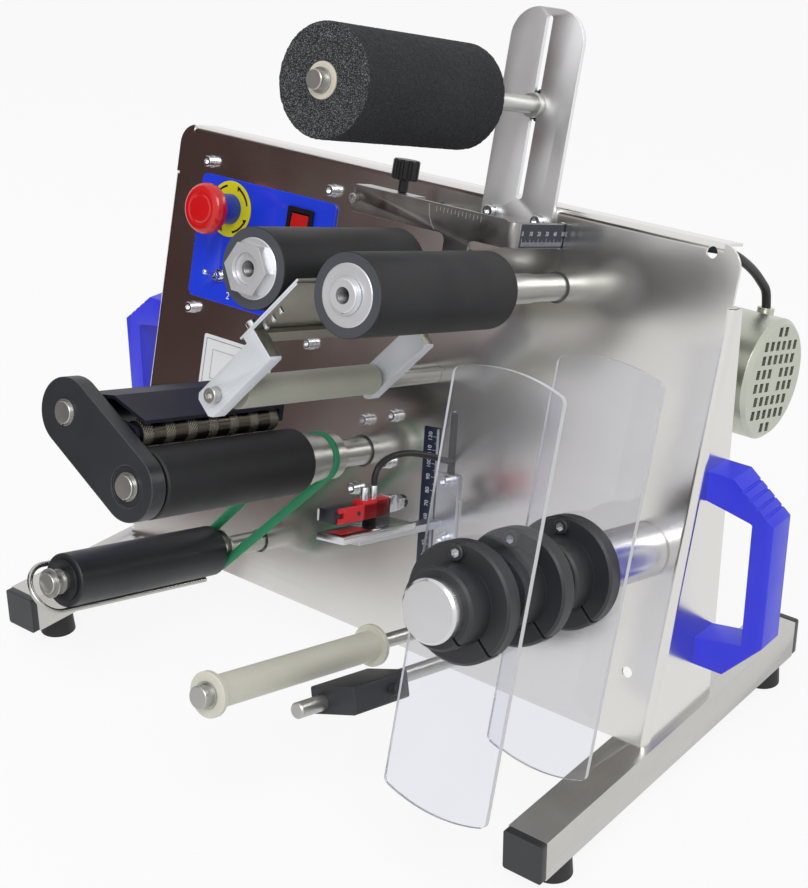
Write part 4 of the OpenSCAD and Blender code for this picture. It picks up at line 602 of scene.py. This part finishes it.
# Two drive rollers, rubber sleeves ground on aluminium cores. The left one
# ends in a hexagon nut round a hollow thread, the right one in a threaded hole.
roller_rubber = finish("roller_rubber", (20, 21, 24), rough=0.62, spread=0.05, fine=1500, edge=0.0006,
                       wear_and_highlight=(70, 72, 78))
cut_rubber = finish("cut_rubber", (66, 69, 76), rough=0.6, spread=0.05, tone=0.06, fine=1500, edge=0.0006,
                    wear_and_highlight=(96, 99, 106))
face_out = to_face.to_3x3() @ Vector((0, 0, 1))


def dress_ends(node, skin, ends):
    """One finish for a turned piece's round side and another for its flat ends."""
    dress(node, skin)
    nodes[node].data.materials.append(ends)
    for face in nodes[node].data.polygons:
        face.material_index = 1 if abs(face.normal.dot(face_out)) > 0.9 else 0


core_metal = finish("core_metal", (216, 217, 221), metal=0.6, rough=0.36, tone=0.04, fine=1300, height=10,
                    edge=0.0003)
for side in ("left", "right"):
    dress(side + "_roller_shaft", turned_steel)
    dress(side + "_roller_core", core_metal)
    dress_ends(side + "_roller_rubber", roller_rubber, cut_rubber)
drive_w, roller_tip = 0.2925, 0.2325
thread_in, thread_out, thread_deep, thread_pitch, thread_chamfer = 0.0044, 0.00507, 0.017, 0.0015, 0.0006
# The thread inside the bore is darker than the metal round it: painted shade in the hole.
thread_painted_shade = finish("thread_painted_shade", (120, 120, 122), metal=1.0, rough=0.35, height=10)


def thread(inner, outer, start, stop, pitch):
    """The rings of a thread between two radii, as a band that is open at its ends."""
    profile, height = [], start
    while height + pitch <= stop:
        profile += [(outer, height), (inner, height + pitch / 2)]
        height += pitch
    return spun(profile + [(outer, height)], 40)


for side, x in (("left", 0.0445), ("right", 0.1195)):
    mesh = thread(thread_in, thread_out, roller_tip - thread_deep, roller_tip - thread_chamfer, thread_pitch)
    bmesh.ops.reverse_faces(mesh, faces=mesh.faces)
    keep(side + "_roller_thread", mesh, thread_painted_shade, side + "_roller", at=on_face(x, drive_w))

# Drive behind the panel: cast bearing housings, toothed belts on pulleys, a
# worm gearbox and a fan-cooled motor whose lead runs to the electrical box.
cast_grey = finish("cast_grey", (150, 152, 154), metal=1.0, rough=0.45, height=40)
belt_rubber = finish("belt_rubber", (22, 22, 24), rough=0.6, height=30)
gearbox_paint = finish("gearbox_paint", (140, 146, 148), rough=0.45, fine=500, height=50)
# The motor's edges take a near-white colour at a high share: mostly a painted highlight on its rims.
motor_paint = finish("motor_paint", (190, 193, 180), metal=0.85, rough=0.3, fine=1200, edge=0.0006,
                     wear_and_highlight=(236, 238, 228), wear_and_highlight_share=0.8)
lead_jacket = finish("lead_jacket", (20, 20, 22), rough=0.45, height=10)
dress("bearing_housings", cast_grey)
dress("timing_belts", belt_rubber)
eased("worm_gearbox", gearbox_paint, width=0.001)
dress("gear_motor", motor_paint)


def smooth(points, steps=8):
    """A smooth line through those points, as many points close together."""
    ends_twice, line = [points[0], *points, points[-1]], []
    for before, start, end, after in zip(ends_twice, points, points[1:], ends_twice[3:]):
        pull_in, pull_out = (end - before) / 6, (after - start) / 6
        line += interpolate_bezier(start, start + pull_in, end - pull_out, end, steps + 1)[:-1]
    return line + [points[-1]]


def tube(name, line, radius, look, closed=False):
    """A round cord along that line, as a mesh."""
    curve = bpy.data.curves.new(name, "CURVE")
    curve.dimensions, curve.bevel_depth, curve.bevel_resolution, curve.use_fill_caps = "3D", radius, 4, True
    spline = curve.splines.new("POLY")
    spline.points.add(len(line) - 1)
    spline.use_cyclic_u = closed
    for knot, point in zip(spline.points, line):
        knot.co = (*point, 1)
    line_item = bpy.data.objects.new(name, curve)
    data = bpy.data.meshes.new_from_object(line_item)
    data.name = name
    bpy.data.objects.remove(line_item)
    data.materials.clear()
    data.materials.append(look)
    data.shade_smooth()
    return added(name, data)


motor_path = [(231, -97, 300.6), (230.5, -92, 312), (230, -82, 319), (230, -68, 326), (230, -52, 332),
              (229, -36, 337), (224, -23, 340), (212, -15, 340), (190, -13, 340), (120, -13, 340), (40, -13, 340),
              (-30, -13, 338), (-62, -16, 328), (-80, -20, 318)]
motor_line = smooth([to_face @ (Vector((x, w, n)) / 1000) for x, n, w in motor_path])
lead = tube("motor_cable", motor_line, 0.00325, lead_jacket)
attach(lead, "frame")
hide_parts("motor_lead")

# Peel plate between two milled arms, clamped on a post; the label strip turns
# sharply round its edge. A loose roller runs on the post.
milled_bar = finish("milled_bar", (208, 211, 216), metal=1.0, rough=0.32, tone=0.03, height=10, edge=0.0005)
satin_alloy = finish("satin_alloy", (222, 226, 232), metal=0.35, tone=0.02, height=10, edge=0.0005,
                     wear_and_highlight=(235, 238, 244))
peel_steel = finish("peel_steel", (150, 148, 138), metal=1.0, rough=0.38, tone=0.06, fine=600)
tube_plastic = finish("tube_plastic", (172, 173, 160), fine=1200)
dress("peel_post", turned_steel)
arms = eased("peel_arms", satin_alloy, width=0.0005)
arms.data.materials.append(peel_steel)
arm_front, arm_rear, arm_thick = 0.229, 0.061, 0.011
for face in arms.data.polygons:
    if arm_rear + arm_thick < (to_plane @ face.center).z < arm_front - arm_thick:
        face.material_index = 1
to_arms = on_face(0.0295, 0.2095) @ turned(49.8)
arm_half, bar_thick, plate_thick = 0.0095, 0.0045, 0.0015


def cap_head(radius, high, at, facing):
    """A cap screw's head with its hexagon socket, its axis turned by facing about X."""
    mesh = spun([(radius * 0.5, high * 0.4), (radius * 0.5, high), (radius * 0.92, high), (radius, high * 0.92),
                 (radius, 0), (0, 0), (0, high * 0.4)][::-1], 40)
    mesh.transform(Matrix.Translation(at) @ turned(facing, "X"))
    return mesh


plate_low, plate_ease = arm_half + bar_thick, 0.0002
plate_from, plate_end, under_from, under_end = 0.0385, 0.098, 0.0512, 0.096
plate_top, under_low, under_top = plate_low + plate_thick, plate_low - 0.0013, plate_low - 0.0001
upper = slab((plate_from, plate_low, arm_rear), (plate_end, plate_top, arm_front), plate_ease)
under = slab((under_from, under_low, arm_rear), (under_end, under_top, arm_front), plate_ease)
mesh = join([(upper, 0), (under, 0)])
for face in mesh.faces:
    if face.calc_center_median().z > arm_front - 0.0003:
        face.material_index = 1
keep("peel_sheets", mesh, [peel_steel, satin_alloy], "peel_bracket", ["peel_plate"], at=to_arms)
parts = [(cap_head(0.0036, 0.0045, (0.0485, plate_top, 0.2245), -90), 0)]
for along in (0.0555, 0.0632, 0.071):
    tip = spun([(0, 0), (0.0018, 0), (0.0018, 0.0026), (0.0014, 0.0032), (0, 0.0032)], 20)
    tip.transform(Matrix.Translation((along, plate_low - 0.0012, 0.2225)) @ turned(90, "X"))
    parts.append((tip, 0))
keep("peel_screws", join(parts), screw_steel, "peel_bracket", at=to_arms)
dress("peel_roller", tube_plastic)

# Traction roller with its link plate at the front, and over it the hinged
# cover that carries the knurled nip roller.
dark_casting = finish("dark_casting", (40, 42, 47), rough=0.45, height=30, edge=0.0012, wear_and_highlight=(104, 107, 114),
                      wear_and_highlight_share=0.7)
cover_paint = finish("cover_paint", (19, 20, 34), ior=1.35, wear_and_highlight=(90, 96, 112))
nip_steel = finish("nip_steel", (92, 88, 80), metal=1.0, rough=0.25)
dress("traction_shaft", turned_steel)
traction_at, traction_out, traction_in = Vector((-0.0235, 0.1355)), 0.0238, 0.019
sleeve_rear, sleeve_front, sleeve_ease = 0.081, 0.228, 0.0012
sleeve_rim = traction_out - sleeve_ease
profile = [(traction_in, sleeve_rear), (sleeve_rim, sleeve_rear), (traction_out, sleeve_rear + sleeve_ease),
           (traction_out, sleeve_front - sleeve_ease), (sleeve_rim, sleeve_front), (traction_in, sleeve_front),
           (traction_in, sleeve_rear)]
keep("traction_sleeve", spun(profile, 96), roller_rubber, "traction", ["traction_rubber"],
     at=on_face(*traction_at))
dress("support_shaft", turned_steel)
dress("link_plate", dark_casting)
dress("nip_arm", cover_paint)
nip_x, nip_w = -0.0391, 0.16509
nip_from, nip_to, nip_r, nip_waist, band_wide, bands = 0.094, 0.226, 0.0094, 0.00905, 0.009, 7
band_pitch = (nip_to - nip_from - band_wide) / (bands - 1)
around, rows, knurl_deep = 48, 8, 0.0005
pin_r, pin_rear, pin_front = 0.003, nip_from - 0.0042, nip_to + 0.0032
parts = [(spun([(0, pin_rear), (pin_r, pin_rear), (pin_r, nip_from), (nip_waist, nip_from),
                (nip_waist, nip_to), (pin_r, nip_to), (pin_r, pin_front), (0, pin_front)]), 0)]
for band in range(bands):
    low = nip_from + band * band_pitch
    profile = [(nip_waist - 0.0001, low)] + [(nip_r, low + band_wide * (row + 0.5) / rows) for row in range(rows)]
    knurl = spun(profile + [(nip_waist - 0.0001, low + band_wide)], around)
    for vert in knurl.verts:
        row = round((vert.co.z - low) / band_wide * rows - 0.5)
        turn_count = round(math.atan2(vert.co.y, vert.co.x) / (2 * math.pi) * around)
        if 0 <= row < rows and vert.co.xy.length > nip_waist and (row + turn_count) % 2:
            vert.co.xy *= (nip_r - knurl_deep) / nip_r
    parts.append((knurl, 1))
mesh = join(parts)
# The knurl's facets alternate between a light and a dark copy of one steel: painted highlight and painted shade.
for face in mesh.faces:
    if face.material_index:
        middle = face.calc_center_median()
        row = round(((middle.z - nip_from) % band_pitch) / band_wide * rows)
        turn_count = math.floor(math.atan2(middle.y, middle.x) / (2 * math.pi) * around + 0.001)
        face.material_index = 1 + (row + turn_count) % 2
knurl_highlit_facets = finish("knurl_highlit_facets", (214, 208, 188), metal=0.6, rough=0.3, height=4, edge=0.0001)
knurl_shaded_facets = finish("knurl_shaded_facets", (44, 42, 36), metal=0.5, rough=0.4, height=4, edge=0.0001)
keep("knurled_roller", mesh, [nip_steel, knurl_highlit_facets, knurl_shaded_facets], "nip_roller", ["nip_roller"],
     at=on_face(nip_x, nip_w))

# Rewinder for the empty strip: a rubber sleeve on a driven shaft, the wire
# clip that grips the strip, and the green round belt that turns it.
rewind_skin = finish("rewind_skin", (26, 28, 34), rough=0.45, fine=1500)
wire_steel = finish("wire_steel", (184, 184, 178), metal=1.0, rough=0.3, height=3)
belt_green = finish("belt_green", (38, 140, 96), rough=0.6, fine=1600, height=80, tone=0.1)
dress("rewind_shaft", turned_steel)
dress("rewind_rubber", rewind_skin)
dress("wire_clip", wire_steel)
# A black bush closes the sleeve's front round the shaft, and a ring snaps on the tip.
rewind_at, stub = Vector((-0.1105, 0.0365)), 0.0076
bush_out, bush_rear, bush_front, ring_out, ring_rear, ring_front = 0.0152, 0.2035, 0.2065, 0.0104, 0.2172, 0.2184
bush = spun([(stub, bush_rear), (bush_out, bush_rear), (bush_out, bush_front), (stub + 0.003, bush_front),
             (stub, bush_front - 0.001), (stub, bush_rear)])
ring = spun([(stub, ring_rear), (ring_out, ring_rear), (ring_out, ring_front), (stub, ring_front), (stub, ring_rear)])
keep("rewind_front", join([(bush, 0), (ring, 1)]), [rewind_skin, turned_steel], "rewinder",
     at=on_face(*rewind_at))
belt_n, belt_r, arc_steps = 0.051, 0.0035, 32
rewind_groove, traction_groove = 0.0135, 0.016
apart = traction_at - rewind_at
lay = math.asin((traction_groove - rewind_groove) / apart.length)
heading = math.atan2(apart.y, apart.x)
path = []
for centre, groove, start, sweep in ((rewind_at, rewind_groove, heading + math.pi / 2 + lay, math.pi - 2 * lay),
                                     (traction_at, traction_groove, heading - math.pi / 2 - lay, math.pi + 2 * lay)):
    for count in range(arc_steps + 1):
        angle = start + sweep * count / arc_steps
        path.append(to_face @ Vector((centre.x + groove * math.cos(angle), centre.y + groove * math.sin(angle),
                                      belt_n)))
belt = tube("round_belt_cord", path, belt_r, belt_green, closed=True)
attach(belt, "frame")
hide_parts("round_belt")

# Label spindle: a thick aluminium tube with three split collars, and two clear
# side plates that keep the roll of labels in place.
spindle_metal = finish("spindle_metal", (212, 212, 214), metal=1.0, rough=0.24, tone=0.03, fine=1500, height=10)
collar_black = finish("collar_black", (40, 41, 45), rough=0.46, fine=1400, height=30, edge=0.0006,
                      wear_and_highlight=(104, 106, 112), wear_and_highlight_share=0.6)
dress("spindle_shaft", spindle_metal)
spindle_at, screw_ring, screw_reach, screw_angles = Vector((0.224, 0.135)), 0.03, 0.00292, (100, 215)
for place in ("front", "middle", "rear"):
    dress(place + "_collar", collar_black)
    data = nodes[place + "_collar"].data
    data.materials.append(screw_steel)
    for face in data.polygons:
        across = (to_plane @ face.center).xy - spindle_at
        for angle in map(math.radians, screw_angles):
            screw = Vector((math.cos(angle), math.sin(angle))) * screw_ring
            if (across - screw).length < screw_reach:
                face.material_index = 1


def make_acrylic():
    """Clear plastic, and the frosted light that its polished edges gather."""
    clear, tree, surface = new_look("clear_acrylic")
    vector = wire(tree, "ShaderNodeTexCoord").outputs["Object"]
    marks = wire(tree, "ShaderNodeGroup", {"Vector": vector, "Slow": 30.0}, node_tree=surface_marks)
    feed(tree, surface, {
        "Base Color": srgb(238, 239, 245),
        "Transmission Weight": 1.0,
        "IOR": 1.49,
        "Roughness": ranged(tree, marks.outputs["Smudge"], 0.45, 0.75, 0.0, 0.06),
    })
    rim = finish("acrylic_rim", (240, 241, 244), rough=0.2, tone=0.02, height=4)
    rim.node_tree.nodes["Principled BSDF"].inputs["Transmission Weight"].default_value = 0.3
    return clear, rim


clear_acrylic, acrylic_rim = make_acrylic()
flat_from = 0.7
for place in ("front", "rear"):
    data = nodes[place + "_side_plate"].data
    dress(place + "_side_plate", clear_acrylic)
    data.materials.append(acrylic_rim)
    for face in data.polygons:
        if abs(face.normal.dot(face_out)) < flat_from:
            face.material_index = 1

# Lower guide roller of plastic tube with two rims, and next to it the round
# rod with its clamp block.
guide_plastic = finish("guide_plastic", (212, 210, 196), rough=0.45, fine=1200)
block_black = finish("block_black", (36, 38, 44), rough=0.42, fine=1200, edge=0.0008, wear_and_highlight=(110, 114, 122))
dress("guide_shaft", turned_steel)
dress("guide_roller", guide_plastic)
dress("block_rod", turned_steel)
eased("clamp_block", block_black, width=0.0006)

# Label sensor on its sliding bracket, beside the printed ruler that shows how
# high it stands. Its lead goes through the panel to the electrical box.
ruler_navy = finish("ruler_navy", (26, 34, 60), rough=0.35, height=10)
sensor_red = finish("sensor_red", (206, 28, 38), rough=0.35, tone=0.04, height=10)
eased("depth_ruler", ruler_navy, width=0.0002)
dress("sensor_bracket", milled_bar)
to_slot = on_face(0.064, 0.1155) @ turned(7)
ruler_top, ruler_zero = 0.001, -0.069
to_ruler = to_slot @ Matrix.Translation((0, 0, ruler_top + 0.00005)) @ turned(90)
parts = ruler_marks(0.124, ruler_zero, 0.0022, 0.0052, 0.0128)
for number in range(13):
    parts.append((words(str(number * 10), 0.0046, (ruler_zero + number / 100, 0.0205, 0)), 0))
keep("ruler_marks", join(parts), scale_white, "frame", smooth=False, at=to_ruler)
strip_grey = finish("strip_grey", (150, 156, 168), rough=0.4, height=4)
mesh = slab((ruler_zero - 0.004, 0.0127, -0.00003), (ruler_zero + 0.126, 0.0148, 0.00002), 0)
keep("ruler_strip", mesh, strip_grey, "frame", smooth=False, at=to_ruler)
# Black rubber lips close the slot behind the panel face: partly a dust seal, partly painted shade that keeps the slot
# dark.
lip_rubber_and_shade = finish("lip_rubber_and_shade", (20, 21, 26), rough=0.6)
lip_half, lip_long, lip_split, lip_back, lip_front = 0.0032, 0.0714, 0.0001, -0.0016, -0.0006
lips = join([(slab((low, -lip_long, lip_back), (high, lip_long, lip_front), 0), 0)
             for low, high in ((-lip_half, -lip_split), (lip_split, lip_half))])
keep("slot_lips_and_shade", lips, lip_rubber_and_shade, "frame", smooth=False, at=to_slot)
sensor_black = finish("sensor_black", (26, 26, 29), rough=0.35, height=10)
sensor_metal = finish("sensor_metal", (206, 208, 210), metal=1.0, rough=0.25, height=10)
pale_end = finish("pale_end", (200, 204, 204), rough=0.4, height=10)
sensor_blocks = [
    ((-0.0215, -0.009, 0.044), (0.0025, -0.004, 0.125), 0.0004, 2),
    ((-0.0205, -0.0042, 0.09), (0.0005, -0.0037, 0.1235), 0.0001, 1),
    ((-0.0165, -0.0038, 0.092), (-0.0045, -0.0034, 0.1195), 0.0001, 0),
    ((-0.0205, -0.0042, 0.081), (-0.0005, -0.0035, 0.0905), 0.0001, 2),
    ((-0.0215, 0.003, 0.066), (-0.0078, 0.0128, 0.1243), 0.0006, 1),
    ((-0.0217, 0.0042, 0.1236), (-0.0205, 0.0122, 0.125), 0.0002, 3),
    ((-0.008, 0.003, 0.07), (-0.0055, 0.0138, 0.1155), 0.0004, 0),
    ((-0.008, 0.003, 0.115), (-0.0055, 0.0068, 0.1205), 0.0003, 0),
    ((-0.008, 0.0105, 0.115), (-0.0055, 0.0138, 0.1205), 0.0003, 0),
    ((-0.0155, 0.003, 0.066), (-0.0055, 0.0162, 0.0945), 0.0004, 0),
    ((-0.0175, -0.0042, 0.0645), (-0.0055, 0.0155, 0.0805), 0.0004, 1),
    ((-0.0155, 0.0045, 0.0575), (-0.0055, 0.0165, 0.0665), 0.0003, 2),
]
parts = [(slab(low, high, ease), look) for low, high, ease, look in sensor_blocks]
nut_thick, nut_sides = 0.005, 6
for n, r, sides in ((0.0555, 0.0062, nut_sides), (0.0505, 0.0048, 24)):
    nut = bmesh.new()
    bmesh.ops.create_cone(nut, cap_ends=True, segments=sides, radius1=r, radius2=r, depth=nut_thick)
    nut.transform(Matrix.Translation((-0.0075, 0.0105, n)))
    parts.append((nut, 2 if sides == nut_sides else 1))
button = spun([(0, 0), (0.0017, 0), (0.0017, 0.0007), (0, 0.0007)], 20)
button.transform(Matrix.Translation((-0.0057, 0.0085, 0.1)) @ turned(90, "Y"))
parts.append((button, 1))
for n in (0.08, 0.09):
    stud = spun([(0, 0), (0.0026, 0), (0.0026, 0.008), (0.0022, 0.0088), (0, 0.0088)], 24)
    stud.transform(Matrix.Translation((-0.0095, 0.0162, n)) @ turned(-90, "X"))
    parts.append((stud, 2))
keep("sensor_head", join(parts), [sensor_red, sensor_black, sensor_metal, pale_end], "sensor_carrier",
     ["label_sensor"], at=to_slot)
sensor_path = [(52, 80, 140), (51.5, 80, 147), (51.5, 76, 154), (52.5, 65, 159), (54, 48, 160), (56, 31, 157.5),
               (58, 16, 154), (59.6, 2, 151), (59.6, -10, 150), (52, -20, 156), (36, -24, 170), (6, -24, 189),
               (-40, -24, 202), (-80, -24, 214)]
knots = [to_face @ (Vector((x, w, n)) / 1000) for x, n, w in sensor_path]
sensor_line = smooth(knots)
lead = tube("sensor_cable", sensor_line, 0.0023, lead_jacket)
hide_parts("sensor_lead")
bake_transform(lead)

# Studio: a plain white floor that keeps a soft shadow, a white surround, and
# two large soft lamps. A dark screen at the left shows only as a reflection.
def seen_instead(tree, plain, bright, share, output):
    """The camera, reflections and clear plastic see the bright surface; light meets the plain one."""
    path = wire(tree, "ShaderNodeLightPath").outputs
    seen = maths(tree, "MAXIMUM", path["Is Camera Ray"], path["Is Glossy Ray"])
    seen = maths(tree, "MAXIMUM", seen, path["Is Transmission Ray"])
    both = wire(tree, "ShaderNodeMixShader", {0: maths(tree, "MULTIPLY", seen, share), 1: plain.outputs[0],
                                              2: bright.outputs[0]})
    feed(tree, tree.nodes[output], {"Surface": both.outputs[0]})


floor_half, floor_glow = 20, 0.88
floor_look, tree, surface = new_look("studio_floor")
feed(tree, surface, {"Base Color": (0.85, 0.85, 0.85, 1), "Roughness": 0.9, "Specular IOR Level": 0})
glow = wire(tree, "ShaderNodeEmission", {"Color": (1, 1, 1, 1), "Strength": 1.0})
seen_instead(tree, surface, glow, floor_glow, "Material Output")
mesh = bmesh.new()
bmesh.ops.create_grid(mesh, x_segments=1, y_segments=1, size=floor_half)
floor = put("studio_floor", mesh, [floor_look])

world = bpy.data.worlds.new("surround")
bpy.context.scene.world = world
world.use_nodes = True
tree = world.node_tree
plain = tree.nodes["Background"]
feed(tree, plain, {"Color": (1, 1, 1, 1), "Strength": 0.55})
white = wire(tree, "ShaderNodeBackground", {"Color": (1, 1, 1, 1), "Strength": 1.0})
seen_instead(tree, plain, white, 1.0, "World Output")


def lamp(name, place, aim, size, power):
    """A soft lamp at a place, turned to a point."""
    light = bpy.data.lights.new(name, "AREA")
    light.energy = power
    light.shape = "RECTANGLE"
    light.size, light.size_y = size
    item = added(name, light)
    item.location = place
    item.rotation_euler = (Vector(aim) - Vector(place)).to_track_quat("-Z", "Y").to_euler()
    return item


lamp("key_light", (1.4, -1.6, 2.4), (0, 0, 0.25), (1.4, 1.4), 38)
fill = lamp("fill_light", (-1.8, -1.2, 1.6), (0, 0, 0.25), (1.6, 1.6), 12)
fill.visible_glossy = False


def screen_look():
    """A glow that runs from white to dark brown round the vertical axis."""
    look, tree, surface = new_look("dark_screen")
    place = wire(tree, "ShaderNodeNewGeometry").outputs["Position"]
    away = wire(tree, "ShaderNodeVectorMath", {0: place, 1: (-1, -1, -1)}, operation="MULTIPLY")
    parts = wire(tree, "ShaderNodeSeparateXYZ", {0: away.outputs[0]})
    bearing = maths(tree, "ARCTAN2", parts.outputs["X"], parts.outputs["Y"])
    ramp = wire(tree, "ShaderNodeValToRGB", {0: ranged(tree, bearing, screen_white, screen_end)})
    tones = [(screen_white, (255, 255, 255)), (screen_grey, (142, 132, 130)), (screen_dark, (70, 50, 46)),
             (screen_end, (62, 44, 41))]
    for count, (angle, tone) in enumerate(tones):
        at = (angle - screen_white) / (screen_end - screen_white)
        stop = ramp.color_ramp.elements[count] if count < 2 else ramp.color_ramp.elements.new(at)
        stop.position, stop.color = at, srgb(*tone)
    feed(tree, surface, {"Base Color": (0, 0, 0, 1), "Specular IOR Level": 0, "Emission Strength": 1.0,
                         "Emission Color": ramp.outputs[0]})
    return look


screen_white, screen_grey, screen_dark, screen_end = (math.radians(angle) for angle in (25, 33, 38, 88))
screen_near, screen_far, screen_high, screen_steps = 0.75, 3.0, 3.4, 24
mesh = bmesh.new()
columns = []
for step in range(screen_steps + 1):
    angle = screen_white + (screen_end - screen_white) * step / screen_steps
    side, front = -math.sin(angle), -math.cos(angle)
    columns.append([mesh.verts.new((side * reach, front * reach, height)) for reach, height in
                    ((screen_near, 0.002), (screen_far, 0.002), (screen_far, screen_high))])
for left, right in zip(columns, columns[1:]):
    for low in (0, 1):
        mesh.faces.new((left[low], right[low], right[low + 1], left[low + 1]))
screen = put("dark_screen", mesh, [screen_look()])
screen.visible_camera = screen.visible_diffuse = screen.visible_shadow = screen.visible_transmission = False

scene = bpy.context.scene
scene.view_settings.view_transform = "Standard"
